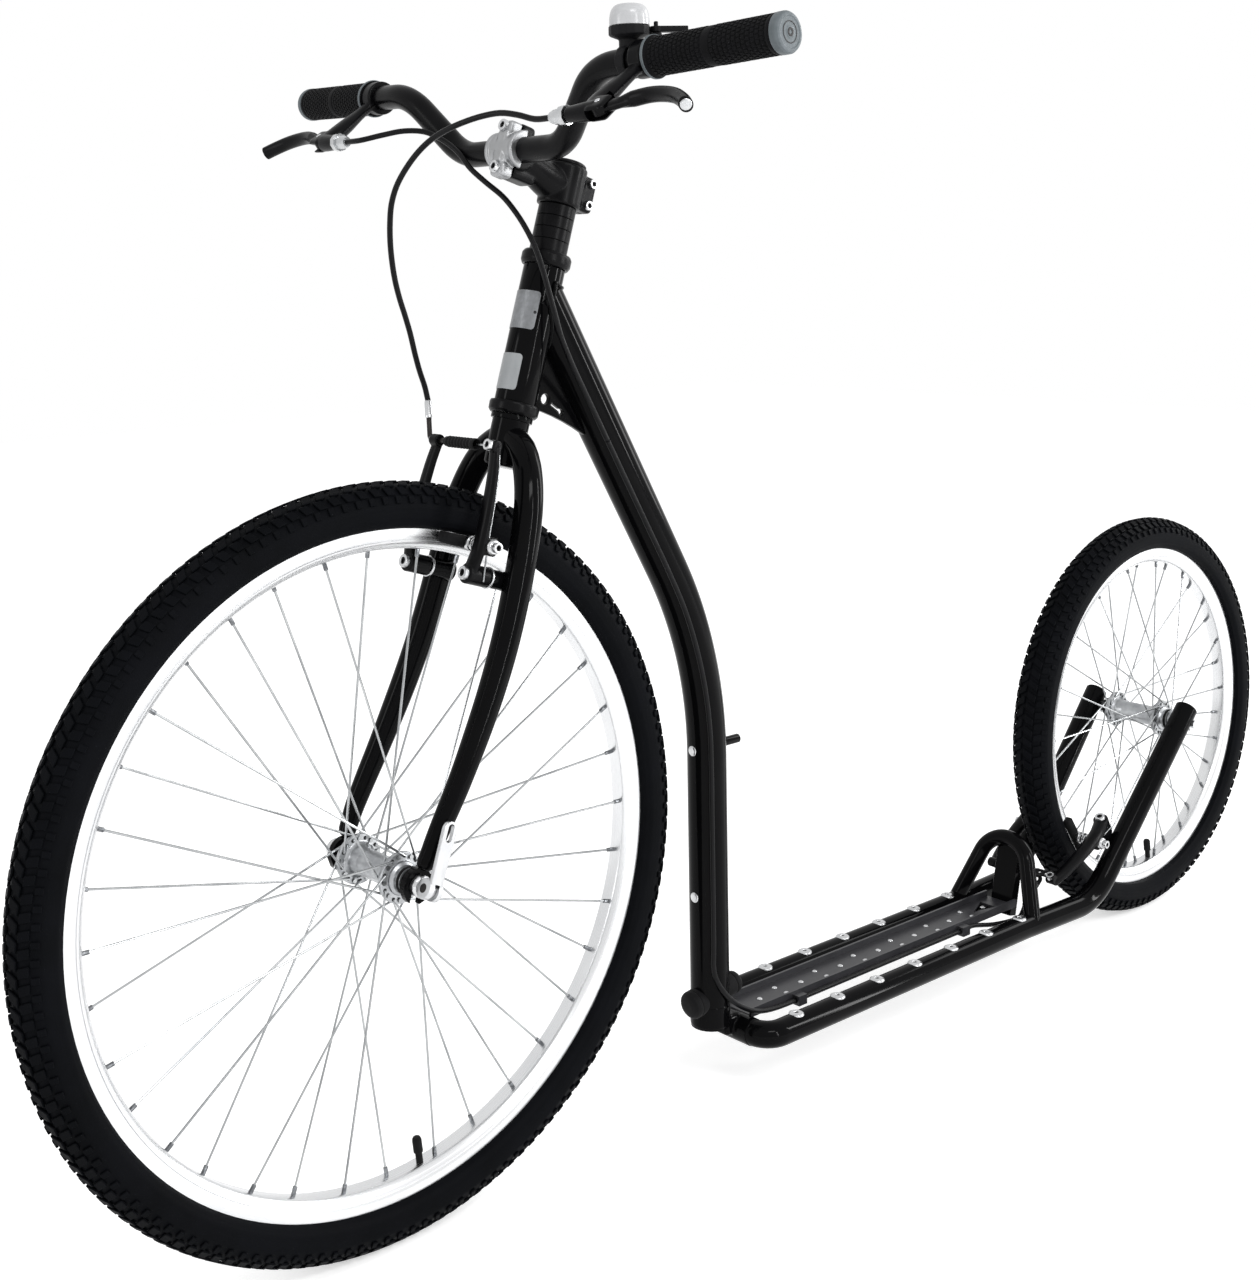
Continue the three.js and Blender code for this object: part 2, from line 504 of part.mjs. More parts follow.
function addGusset() {
  const rear = -headTubeRadius, foot = lowerCupTop + seatGap;
  const shape = new THREE.Shape();
  shape.moveTo(rear + overrun, foot);
  shape.lineTo(rear, foot);
  shape.quadraticCurveTo(rear - gussetFoot / 2, foot, rear - gussetFoot, foot - gussetHoleRise);
  shape.lineTo(rear - gussetFoot, foot + overrun);
  shape.lineTo(rear + overrun, foot + gussetHeight);
  const slotStart = at(rear - gussetHoleRun - gussetSlotRun, foot + gussetHoleRise, 0);
  const slotEnd = slotStart.clone().add(at(-gussetSlotLength, -gussetSlotLength / 3, 0));
  const toHead = headMatrix.clone().multiply(plane(forward, up));
  const along = slotEnd.clone().sub(slotStart).normalize(), across = at(-along.y, along.x, 0);
  const wide = gussetSlotWidth / 2;
  const slit = outline([[slotStart.x + across.x * wide, slotStart.y + across.y * wide],
    [slotEnd.x + across.x * wide, slotEnd.y + across.y * wide],
    [slotEnd.x - across.x * wide, slotEnd.y - across.y * wide],
    [slotStart.x - across.x * wide, slotStart.y - across.y * wide]]);
  const key = outline(roundHole(slotEnd.x, slotEnd.y, gussetKeyRadius, 10));
  const holeAt = foot + gussetHoleRise + gussetHoleRadius / 2;
  const hole = outline(roundHole(rear - gussetHoleRun, holeAt, gussetHoleRadius, 14));
  const through = [slit, key, hole].map((flat) =>
    toSolid(moved(slab(flat, gussetThickness + overrun, 1), toHead)));
  const plate = toSolid(moved(slab(shape, gussetThickness, 5), toHead));
  addPart(frame, 'head_gusset', cut(plate, ...through, headTubeTool(), mainTubeSolid(seatGap)), gloss);
}

// Hoop over the rear of the deck, and the folded web down to the channel
const hoopSlope = Math.tan(hoopLean * radians);
const hoopCorner = at(hoopFootX - (hoopCornerZ - railZ) * hoopSlope, 0, hoopCornerZ);
const hoopFoot = at(hoopFootX, hoopFootY, railZ);
const hoopTube = (extra) => toSolid(tube(bent([hoopFoot, hoopCorner, flip(hoopFoot)], [hoopBendRadius], [5]),
  hoopRadius + extra, 10));

function addHoop() {
  addPart(frame, 'deck_hoop', cut(hoopTube(0), deckLoopTube(seatGap)), gloss);
  const outerY = webHalfWidth, innerY = webHalfWidth - webThickness;
  const section = outline([[0, -outerY], [0, outerY], [-webFlange, outerY], [-webFlange, innerY],
    [-webThickness, innerY], [-webThickness, -innerY], [-webFlange, -innerY], [-webFlange, -outerY]]);
  const height = (webTopZ - webFootZ) / Math.cos(webLean * radians);
  const geometry = new THREE.ExtrudeGeometry(section, { depth: height, bevelEnabled: false });
  const lay = new THREE.Matrix4().makeRotationY(-webLean * radians).setPosition(webFootX, 0, webFootZ);
  addPart(frame, 'hoop_web', cut(toSolid(moved(geometry, lay)), hoopTube(seatGap)), gloss);
}

// Deck channel between the rails, with its two cable clips
const channelFront = crossX - channelFrontReach;
const cableDeckY = channelHalfWidth + seatGap + cableRadius + 1;
const cableDeckZ = channelZ + cableRadius / 2;

function addChannel() {
  const w = channelHalfWidth, z = channelZ;
  const section = outline([[-w, z], [w, z], [w, z + channelLip], [w - channelWall, z + channelLip],
    [w - channelWall, z + channelBase], [channelWall - w, z + channelBase], [channelWall - w, z + channelLip],
    [-w, z + channelLip]]);
  const rear = webFootX - (channelZ - webFootZ) * Math.tan(webLean * radians) + seatGap;
  const run = new THREE.ExtrudeGeometry(section, { depth: channelFront - rear, bevelEnabled: false });
  const lay = plane(left, up, at(rear, 0, 0));
  const notch = outline([[rear + channelNotchInset, -channelNotchWidth * 0.6],
    [rear + channelNotchInset + channelNotchLength * 1.6, channelNotchWidth * 0.1],
    [rear + channelNotchInset, channelNotchWidth * 0.4]]);
  const hole = slab(notch, channelLip, 1).translate(0, 0, z);
  const clips = [clipFrontX, clipRearX].map((x) => {
    const reach = cableRadius + clipWall;
    const body = block(at(x - clipLength / 2, w - channelWall, cableDeckZ - reach),
      at(x + clipLength / 2, cableDeckY + reach, cableDeckZ + reach));
    return cut(toSolid(body), drill(at(x - clipLength, cableDeckY, cableDeckZ),
      at(x + clipLength, cableDeckY, cableDeckZ), cableRadius, 8),
    toSolid(block(at(x - clipLength, channelWall - w, z + channelBase), at(x + clipLength, w - channelWall,
      z + channelLip * 2))));
  });
  const channel = join(cut(toSolid(moved(run, lay)), toSolid(hole)), ...clips);
  addPart(frame, 'deck_channel', cut(channel, deckLoopTube(seatGap)), gloss);
}

// Rear axle with its collars and nuts, fixed in the stays
function addRearAxle() {
  const end = axleNutSeat + axleNutLength;
  const half = [[0, end + axleEndLength], [axleRadius, end + axleEndLength], [axleRadius, axleCollarEnd],
    [axleCollarRadius, axleCollarEnd], [axleCollarRadius, rearHubHalfWidth + seatGap],
    [axleRadius, rearHubHalfWidth + seatGap]];
  const other = half.map(([radius, y]) => [radius, -y]).reverse();
  const nuts = [1, -1].map((side) => toSolid(rod(at(0, 0, side * axleNutSeat), at(0, 0, side * end),
    axleNutRadius, 6)));
  const across = new THREE.Matrix4().makeRotationX(-Math.PI / 2).setPosition(rearAxle);
  addPart(frame, 'rear_axle', join(toSolid(turned([...half, ...other], 10)), ...nuts), silver, across);
}

// Fork: steerer with its base, and two curved legs with dropouts and brake bosses
const raceTop = lowerCupTop - lowerCupHeight - seatGap;
const baseTop = raceTop - crownRaceHeight, baseEnd = baseTop - steererBaseLength;
const legPathShares = [[0, 0.15, 0.06, 1], [0, 0.38, 0.08, 1], [0, 0.58, 0.118, 1], [0, 0.735, 0.17, 1],
  [0, 0.84, 0.235, 1], [0, 0.915, 0.36, 1], [0.06, 0.955, 0.5, 0.97], [0.26, 0.985, 0.64, 0.9],
  [0.58, 1, 0.79, 0.8], [0.86, 0.985, 0.9, 0.7], [0.96, 0.955, 0.955, 0.62]];
const trackRadius = frontRimRadius - brakeTrack * 0.6;
const frontAxle = at(forkRake, 0, -axleDrop);
const frontPivot = at(brakePivotReach, brakePivotY, -axleDrop + trackRadius - padHeight);

function addFork() {
  const steererTop = stemTop - seatGap;
  addPart(steering, 'fork_steerer', turned([[0, baseEnd], [steererBaseRadius, baseEnd], [steererBaseRadius,
    baseTop],
    [crownRaceRadius, baseTop], [crownRaceRadius, raceTop], [steererRadius, raceTop], [steererRadius,
      steererTop],
    [0, steererTop]], 18), gloss);
  const knots = legPathShares.map(([u, y, w]) => at(forkRake * u, legSpread * y, -axleDrop * w));
  const curve = new THREE.CatmullRomCurve3(knots);
  const steps = 11, rings = [], radii = [];
  for (let k = 0; k <= steps; k++) {
    const t = k / steps, row = t * (legPathShares.length - 1), low = Math.min(Math.floor(row),
      legPathShares.length - 2);
    rings.push(curve.getPoint(t));
    radii.push(legRadius * THREE.MathUtils.lerp(legPathShares[low][3], legPathShares[low + 1][3], row - low));
  }
  const dropout = new THREE.Shape();
  dropout.absarc(forkRake, -axleDrop, dropoutRadius, Math.PI, 0, false);
  const legEnd = knots[knots.length - 1];
  dropout.lineTo(legEnd.x + legRadius * 0.6, legEnd.z + legRadius);
  dropout.lineTo(legEnd.x - legRadius * 0.6, legEnd.z + legRadius);
  const plate = moved(slab(dropout, dropoutThickness, 5), plane(forward, up));
  plate.translate(0, dropoutFaceOffset + dropoutThickness / 2, 0);
  const slot = axleRadius + seatGap;
  const slotBox = block(at(forkRake - slot, 0, -axleDrop - dropoutSlotLength),
    at(forkRake + slot, legSpread * 2, -axleDrop));
  const slotEnd = drill(frontAxle, frontAxle.clone().setY(legSpread * 2), axleRadius, 10);
  const base = join(drill(at(0, 0, baseEnd - overrun * 6), at(0, 0, baseTop), steererBaseRadius, 16),
    drill(at(0, 0, baseTop - seatGap), at(0, 0, baseTop + overrun * 6), crownRaceRadius, 16));
  const middle = toSolid(block(at(-legSpread, -legSpread, -axleDrop), at(legSpread, seatGap, legSpread)));
  const leg = cut(join(toSolid(tube(rings, radii, 10)), toSolid(plate), ...studPieces(frontPivot, forward,
    -brakePivotReach)),
    toSolid(slotBox), slotEnd, base, middle);
  addPair(steering, 'fork_leg_SIDE', leg, gloss);
}

// Spacers under the stem, with the joints between them as grooves
function addSpacers() {
  const bore = fit(steererRadius, 14), outer = [];
  for (let k = 0; k < spacerCount; k++) {
    const bottom = spacerBottom + k * spacerHeight, top = bottom + spacerHeight;
    outer.push([spacerRadius - spacerGroove, bottom], [spacerRadius, bottom + spacerGroove],
      [spacerRadius, top - spacerGroove]);
  }
  const top = spacerBottom + spacerCount * spacerHeight;
  outer.push([spacerRadius - spacerGroove, top]);
  addPart(steering, 'headset_spacers', turned([[bore, spacerBottom], ...outer, [bore, top]], 14), plastic);
}

// Stem: clamp round the steerer, arm forward, and half of the bar clamp
const barCentre = at(stemReach, 0, barCentreW);

function addStem() {
  const clamp = toSolid(rod(at(0, 0, stemBottom), at(0, 0, stemTop), stemClampRadius, 18));
  const arm = outline([[0, stemBottom + overrun / 2], [stemReach * 0.55, stemBottom + stemRise * 0.9],
    [stemReach, barCentreW - barClampRadius], [stemReach, barCentreW + barClampRadius],
    [stemReach * 0.5, stemTop], [0, stemTop]]);
  const body = toSolid(moved(slab(arm, stemHalfWidth * 2, 1), plane(forward, up)));
  const barrel = toSolid(rod(barCentre.clone().setY(-barClampHalfWidth),
    barCentre.clone().setY(barClampHalfWidth), barClampRadius, 16));
  const lugs = [1, -1].map((side) => {
    const w = stemBottom + stemClampHeight / 2 + side * pinchLugSpacing / 2;
    return toSolid(rod(at(-pinchLugOffset, -pinchLugHalfWidth, w), at(-pinchLugOffset, pinchLugHalfWidth,
      w), pinchLugRadius, 8));
  });
  const lugWeb = toSolid(block(at(-pinchLugOffset, -pinchLugHalfWidth, stemBottom + pinchLugRadius / 2),
    at(0, pinchLugHalfWidth, stemTop - pinchLugRadius / 2)));
  const boltPads = [1, -1].map((side) => toSolid(block(
    at(stemReach - faceLugDepth, -faceLugHalfWidth, barCentreW + side * faceBoltOffset - faceLugHeight / 2),
    at(stemReach, faceLugHalfWidth, barCentreW + side * faceBoltOffset + faceLugHeight / 2))));
  const front = toSolid(block(at(stemReach + faceSplit - seatGap, -stemReach, stemBottom - stemReach),
    at(stemReach * 2, stemReach, stemTop + stemReach)));
  const bore = drill(at(0, 0, stemBottom - overrun), at(0, 0, stemTop + overrun), steererRadius, 14);
  const barBore = drill(barCentre.clone().setY(-stemReach), barCentre.clone().setY(stemReach), barRadius, 14);
  const slit = toSolid(block(at(-stemReach, -pinchSlot / 2, stemBottom - overrun), at(0, pinchSlot / 2,
    stemTop + overrun)));
  addPart(steering, 'stem', cut(join(clamp, body, barrel, lugWeb, ...lugs, ...boltPads), front, bore,
    barBore, slit), satin);

  const shell = toSolid(rod(barCentre.clone().setY(-barClampHalfWidth),
    barCentre.clone().setY(barClampHalfWidth), barClampRadius, 16));
  const faceBack = stemReach + faceSplit;
  const behind = toSolid(block(at(-stemReach, -stemReach, stemBottom - stemReach), at(faceBack, stemReach,
    stemTop + stemReach)));
  const faceLugs = [1, -1].flatMap((side) => {
    const w = barCentreW + side * faceBoltOffset;
    return [toSolid(block(at(faceBack, -faceLugHalfWidth, w - faceLugHeight / 2),
      at(faceBack + faceLugDepth, faceLugHalfWidth, w + faceLugHeight / 2))),
      toSolid(rod(at(faceBack, 0, w), at(faceBack + faceLugDepth + faceBoltHeight, 0, w), faceBoltRadius,
        10))];
  });
  addPart(steering, 'stem_faceplate', cut(join(shell, ...faceLugs), behind, barBore), castAlloy);

  const cap = stemTop + seatGap;
  addPart(steering, 'stem_top_cap', turned([[0, cap], [stemClampRadius - overrun / 2, cap],
    [stemClampRadius - overrun / 2, cap + topCapHeight * 0.6], [stemClampRadius - overrun,
      cap + topCapHeight],
    [0, cap + topCapHeight]], 18), plastic);
}

// Handlebar: one bent tube; its left half is mirrored
const barLow = at(stemReach, barBendLowY, barCentreW);
const barHigh = at(stemReach + barSweepForward, barBendHighY, barCentreW + barRise);
const barEnd = at(stemReach + barSweepForward - barSweepBack, barEndY, barCentreW + barRise + barEndRise);
const barRun = barEnd.clone().sub(barHigh).normalize();
const onBar = (station) => barHigh.clone().addScaledVector(barRun, station);

function addBar() {
  const half = [barEnd, barHigh, barLow];
  const line = bent([...half, ...[...half].reverse().map(flip)],
    [barHighRadius, barLowRadius, barLowRadius, barHighRadius], [4, 3, 3, 4]);
  addPart(steering, 'handlebar', tube(line, barRadius, 12), satin);
}

// Grips and their end caps, turned about the bar
function barFrame(station, outward) {
  const across = outward.clone().addScaledVector(barRun, -outward.dot(barRun)).normalize();
  return new THREE.Matrix4().makeBasis(across, barRun,
    across.clone().cross(barRun)).setPosition(onBar(station));
}

function addGrips() {
  const bore = fit(barRadius, 14);
  const outer = [[gripFlangeRadius, 0], [gripFlangeRadius, gripFlangeWidth], [gripRadius,
    gripFlangeWidth + gripRingDepth]];
  const pitch = (gripLength - gripFlangeWidth * 2) / gripRings;
  for (let k = 1; k < gripRings; k++) {
    const y = gripFlangeWidth + k * pitch;
    outer.push([gripRadius, y - gripRingDepth * 2], [gripRadius - gripRingDepth, y], [gripRadius,
      y + gripRingDepth * 2]);
  }
  outer.push([gripRadius, gripLength]);
  const sleeve = turned([[bore, 0], ...outer, [bore, gripLength]], 14).rotateX(-Math.PI / 2);
  const place = barFrame(gripStart, forward);
  addPair(steering, 'grip_SIDE', sleeve, rubber, place);
  const capStart = barEnd.distanceTo(barHigh) + seatGap;
  const grip = gripStart + gripLength + seatGap;
  const start = Math.max(capStart, grip);
  const cap = turned([[0, 0], [gripCapRadius, 0], [gripCapRadius, gripCapLength - gripCapDome],
    [gripCapRadius - gripCapDome, gripCapLength], [0, gripCapLength]], 14).rotateX(-Math.PI / 2);
  addPair(steering, 'grip_cap_SIDE', cap, greyCap, barFrame(start, forward));
}

// Brake levers, in a plane that drops forward from the bar: shape x is reach, shape y is outboard
const leverPlane = barFrame(leverStation, at(Math.cos(leverDropAngle * radians), 0,
  -Math.sin(leverDropAngle * radians)));
const pinStation = leverPinRadius * 1.5;
const bladePathShares = [[1, 0, 0.72, 1], [0.96, 0.14, 0.8, 1], [0.91, 0.3, 1, 1], [0.88, 0.46, 1, 1],
  [0.91, 0.62, 1, 0.95], [0.99, 0.78, 1, 0.9], [1.12, 0.92, 1, 0.8], [1.22, 1, 0.8, 0.6]];
const bodyOutlineShares = [[0.14, -0.17], [0.48, -0.28], [0.86, -0.52], [0.95, -0.62], [1.12, -0.62], [1.17,
  0.14],
  [1.06, 0.34], [0.8, 0.33], [0.5, 0.24], [0.14, 0.14]];

const adjusterBase = leverBodyLength * bodyOutlineShares[3][1];
const adjusterMiddle = leverReach * (bodyOutlineShares[3][0] + bodyOutlineShares[4][0]) / 2;

function addLevers() {
  const points = bodyOutlineShares.map(([x, y]) => [leverReach * x, leverBodyLength * y]);
  const body = toSolid(slab(outline(points), leverBodyThickness, 1));
  const clamp = toSolid(rod(at(0, -leverClampHalfWidth, 0), at(0, leverClampHalfWidth, 0), leverClampRadius,
    16));
  const bore = drill(at(0, -leverBodyLength, 0), at(0, leverBodyLength, 0), barRadius, 14);
  const slotBack = leverReach - leverRootRadius * 2 - runningGap * 4;
  const slot = toSolid(block(at(slotBack, pinStation - leverRootRadius - runningGap * 2, -leverSlot / 2),
    at(leverReach * 2, leverBodyLength, leverSlot / 2)));
  const pin = toSolid(rod(at(leverReach, pinStation, -leverBodyThickness / 2), at(leverReach, pinStation,
    leverBodyThickness / 2),
    leverPinRadius, 8));
  addPair(steering, 'lever_body_SIDE', join(cut(join(body, clamp), bore, slot), pin), satin, leverPlane);

  const path = bladePathShares.map(([x, y]) => at(leverReach * x, pinStation + bladeLength * y, 0));
  const curve = new THREE.CatmullRomCurve3(path);
  const rings = [], count = bladePathShares.length - 1, steps = 9;
  for (let k = 0; k <= steps; k++) {
    const t = k / steps, row = Math.min(Math.floor(t * count), count - 1), mix = t * count - row;
    const wide = THREE.MathUtils.lerp(bladePathShares[row][2], bladePathShares[row + 1][2], mix);
    const deep = THREE.MathUtils.lerp(bladePathShares[row][3], bladePathShares[row + 1][3], mix);
    const centre = curve.getPoint(t), run = curve.getTangent(t), across = at(run.y, -run.x, 0);
    const ring = [], narrow = (leverSlot / 2 - runningGap) / bladeHalfWidth;
    const width = bladeHalfWidth * (t < 0.2 ? narrow : wide);
    for (let j = 0; j < 8; j++) {
      const turn = (j + 0.5) / 8 * 2 * Math.PI;
      ring.push(centre.clone().addScaledVector(across,
        bladeHalfThickness * deep * Math.sin(turn)).setZ(width * Math.cos(turn)));
    }
    rings.push(ring);
  }
  const half = leverSlot / 2 - runningGap;
  const root = toSolid(rod(at(leverReach, pinStation, -half), at(leverReach, pinStation, half),
    leverRootRadius, 14));
  const pinBore = drill(at(leverReach, pinStation, -leverReach), at(leverReach, pinStation, leverReach),
    leverPinRadius, 8);
  addPair(steering, 'lever_blade_SIDE', cut(join(toSolid(loft(rings)), root), pinBore), satin, leverPlane);

  const barrel = turned([[0, 0], [adjusterNutRadius, 0], [adjusterNutRadius, adjusterNutLength],
    [adjusterRadius, adjusterNutLength], [adjusterRadius, adjusterLength * 0.7], [adjusterRadius * 0.7,
      adjusterLength],
    [0, adjusterLength]], 10).rotateX(Math.PI / 2).translate(adjusterMiddle, adjusterBase - seatGap, 0);
  addPair(steering, 'barrel_adjuster_SIDE', barrel, silver, leverPlane);
}

// Bell, upright on the left of the bar, with its thumb striker
function addBell() {
  const bell = new THREE.Group();
  const seat = onBar(bellStation);
  bell.position.copy(seat);
  bell.rotation.y = lean;
  steering.add(bell);
  const tilt = new THREE.Matrix4().makeRotationY(lean);
  const run = barRun.clone().applyMatrix4(tilt.clone().invert());
  const ring = toSolid(rod(run.clone().multiplyScalar(-bellClampHalfWidth),
    run.clone().multiplyScalar(bellClampHalfWidth), bellClampRadius, 12));
  const bore = drill(run.clone().multiplyScalar(-bellLift * 2), run.clone().multiplyScalar(bellLift * 2),
    barRadius, 12);
  const base = bellLift, top = bellLift + bellBaseHeight;
  const cup = toSolid(turned([[0, base / 2], [bellFootRadius, base / 2], [bellFootRadius, base],
    [bellBaseRadius, base + bellBaseHeight * 0.3], [bellBaseRadius, top], [0, top]], 14));
  const bearing = strikerBearing * radians;
  const pivot = at(strikerPivotReach * Math.cos(bearing), strikerPivotReach * Math.sin(bearing), 0);
  const pinTop = top - seatGap, ledge = base + bellBaseHeight * 0.45;
  const ear = toSolid(rod(pivot.clone().setZ(ledge - overrun / 2), pivot.clone().setZ(ledge + runningGap),
    strikerEarRadius, 8));
  const pin = toSolid(rod(pivot.clone().setZ(ledge), pivot.clone().setZ(pinTop + overrun), strikerPinRadius,
    6));
  const tab = toSolid(rod(pivot.clone().setZ(ledge + runningGap + seatGap), pivot.clone().setZ(pinTop),
    strikerEarRadius, 10));
  const outward = at(Math.cos(bearing), Math.sin(bearing), 0), side = at(-Math.sin(bearing),
    Math.cos(bearing), 0);
  const reach = strikerReach - strikerPivotReach;
  const handle = toSolid(moved(block(at(0, -strikerHalfWidth, ledge + runningGap + seatGap), at(reach,
    strikerHalfWidth, pinTop)),
    new THREE.Matrix4().makeBasis(outward, side, up).setPosition(pivot)));
  const clear = drill(pivot.clone().setZ(0), pivot.clone().setZ(top * 2), strikerPinRadius, 6);
  const swing = toSolid(rod(pivot.clone().setZ(ledge + runningGap), pivot.clone().setZ(top + overrun),
    strikerEarRadius + runningGap * 1.5, 12));
  addPart(bell, 'bell_base', join(cut(join(cut(join(ring, cup), bore), ear), swing), pin), plastic);
  addPart(bell, 'bell_striker', cut(join(tab, handle), clear), plastic);
  const domeBase = top + seatGap, crown = domeBase + bellDomeHeight;
  addPart(bell, 'bell_dome', turned([[0, domeBase], [bellDomeRadius, domeBase], [bellDomeRadius,
    domeBase + bellDomeHeight * 0.45],
    [bellDomeRadius * 0.96, domeBase + bellDomeHeight * 0.68], [bellDomeRadius * 0.82,
      domeBase + bellDomeHeight * 0.86],
    [bellDomeRadius * 0.5, crown - bellDomeWall / 2], [0, crown]], 18), silver);
}

// Skewer through the front hub, its nut, its cap and the quick-release lever
const releaseAlong = at(-Math.sin(releaseTilt * radians), 0, Math.cos(releaseTilt * radians));
const releasePivot = frontAxle.clone().setY(dropoutFaceOffset + dropoutThickness + camOffset);
const releaseAxis = releaseAlong.clone().cross(left);

function addSkewer() {
  const outer = dropoutFaceOffset + dropoutThickness + seatGap;
  const rodLine = toSolid(rod(frontAxle.clone().setY(-outer - skewerNutLength / 2), releasePivot,
    axleRadius, 10));
  const slim = toSolid(rod(releasePivot.clone().setY(outer + skewerCapLength), releasePivot,
    camSlot / 2 - seatGap, 8));
  const keep = toSolid(block(at(-legSpread, -legSpread * 2, -axleDrop * 2), at(legSpread * 2,
    outer + skewerCapLength, 0)));
  const eye = toSolid(rod(releasePivot.clone().addScaledVector(releaseAxis, -camSlot / 2 + seatGap),
    releasePivot.clone().addScaledVector(releaseAxis, camSlot / 2 - seatGap), camEyeRadius, 10));
  const pin = toSolid(rod(releasePivot.clone().addScaledVector(releaseAxis, -camWidth / 2),
    releasePivot.clone().addScaledVector(releaseAxis, camWidth / 2), camPinRadius, 8));
  const nut = toSolid(rod(frontAxle.clone().setY(-outer), frontAxle.clone().setY(-outer - skewerNutLength),
    skewerNutRadius, 12));
  addPart(steering, 'front_skewer', join(rodLine.intersect(keep), slim, eye, pin, nut), silver);

  const capBore = fit(axleRadius, 12);
  const capRing = turned([[capBore, 0], [skewerCapRadius, 0], [skewerCapRadius, skewerCapLength * 0.7],
    [skewerCapRadius * 0.8, skewerCapLength], [capBore, skewerCapLength]], 12);
  const place = new THREE.Matrix4().makeRotationX(-Math.PI / 2).setPosition(frontAxle.clone().setY(outer));
  const camSpace = toSolid(rod(releasePivot.clone().addScaledVector(releaseAxis, -camWidth),
    releasePivot.clone().addScaledVector(releaseAxis, camWidth), camRadius + runningGap, 14));
  addPart(steering, 'skewer_cap', cut(toSolid(moved(capRing, place)), camSpace), silver);

  const cam = toSolid(rod(releasePivot.clone().addScaledVector(releaseAxis, -camWidth / 2),
    releasePivot.clone().addScaledVector(releaseAxis, camWidth / 2), camRadius, 14));
  const shape = new THREE.Shape();
  shape.moveTo(-releaseWidth / 2, 0);
  shape.lineTo(releaseWidth / 2, 0);
  shape.lineTo(releaseTipWidth / 2, releaseLength - releaseTipWidth / 2);
  shape.absarc(0, releaseLength - releaseTipWidth / 2, releaseTipWidth / 2, 0, Math.PI, false);
  const low = releaseLength - releaseTipWidth / 2 - releaseHoleLength / 2, r = releaseHoleWidth / 2;
  const high = low + releaseHoleLength - r * 2;
  shape.holes.push(new THREE.Path(roundHole(0, low, r, 10).map(([x, y]) => new THREE.Vector2(x,
    y > low ? y + high - low : y))));
  const bladeAt = releasePivot.clone().addScaledVector(left, releaseOffset - releaseThickness / 2);
  const blade = toSolid(moved(slab(shape, releaseThickness, 6), plane(releaseAxis, releaseAlong, bladeAt)));
  const neck = toSolid(moved(block(at(-releaseWidth / 2, 0, -releaseThickness / 2), at(releaseWidth / 2,
    camRadius * 1.4, releaseThickness / 2)),
    plane(releaseAxis, releaseAlong, bladeAt)));
  const slotHalf = camSlot / 2;
  const slot = toSolid(moved(block(at(-slotHalf, -camRadius * 2, -camRadius * 3), at(slotHalf,
    camEyeRadius + runningGap, releaseOffset + overrun)),
    plane(releaseAxis, releaseAlong, releasePivot)));
  const bore = drill(releasePivot.clone().addScaledVector(releaseAxis, -camWidth),
    releasePivot.clone().addScaledVector(releaseAxis, camWidth), camPinRadius, 8);
  addPart(steering, 'quick_release_lever', cut(join(cam, blade, neck), slot, bore), silver);
}

// A linear-pull brake: arm plane is shape x outboard and shape y along the arm, pushed out along the stud
const armEdgeShares = [[0, 0], [0.7, 0.12], [1.1, 0.24], [1.1, 0.5], [0.5, 0.8], [-0.4, 1]];

const brakeStrapMiddle = brakeStrapFront - brakeArmDepth / 2;
const cradleMiddle = brakeArmBow * armEdgeShares.at(-1)[0];

function cradleRod(extra, radius) {
  const half = brakeCradleLength / 2 + extra, x = brakeCradleForward + brakeStrapMiddle;
  return toSolid(rod(at(x, cradleMiddle - half, brakeArmLength), at(x, cradleMiddle + half, brakeArmLength),
    radius, 8));
}

function brakeArm() {
  const right = [], other = [];
  for (const [x, y] of armEdgeShares) {
    const middle = brakeArmBow * x;
    const half = THREE.MathUtils.lerp(brakeArmHalfWidth, brakeArmTopHalfWidth, y);
    right.push(new THREE.Vector2(middle + half, brakeArmLength * y));
    other.push(new THREE.Vector2(middle - half, brakeArmLength * y));
  }
  const shape = new THREE.Shape();
  shape.moveTo(right[0].x, right[0].y);
  shape.splineThru(right.slice(1));
  shape.absarc((right.at(-1).x + other.at(-1).x) / 2, brakeArmLength, brakeArmTopHalfWidth, 0, Math.PI,
    false);
  shape.splineThru([...other].reverse().slice(1));
  const toArm = plane(left, up);
  const strap = toSolid(moved(slab(shape, brakeArmDepth, 2), toArm).translate(brakeStrapMiddle, 0, 0));
  const barrel = toSolid(rod(at(-brakeBarrelBack, 0, 0), at(brakeStrapFront, 0, 0), brakeBarrelRadius, 10));
  const cradle = cradleRod(0, brakeCradleRadius);
  const wireWay = cradleRod(overrun, fit(noodleRadius, 8));
  const bore = drill(at(-brakePivotReach, 0, 0), at(brakePivotReach, 0, 0), studRadius, 8);
  const slot = toSolid(block(at(-padSlotWidth / 2, -brakePivotY, padHeight - padSlotHeight / 2),
    at(padSlotWidth / 2, brakePivotY, padHeight + padSlotHeight / 2)));
  return cut(join(strap, barrel, cradle), bore, slot, wireWay);
}

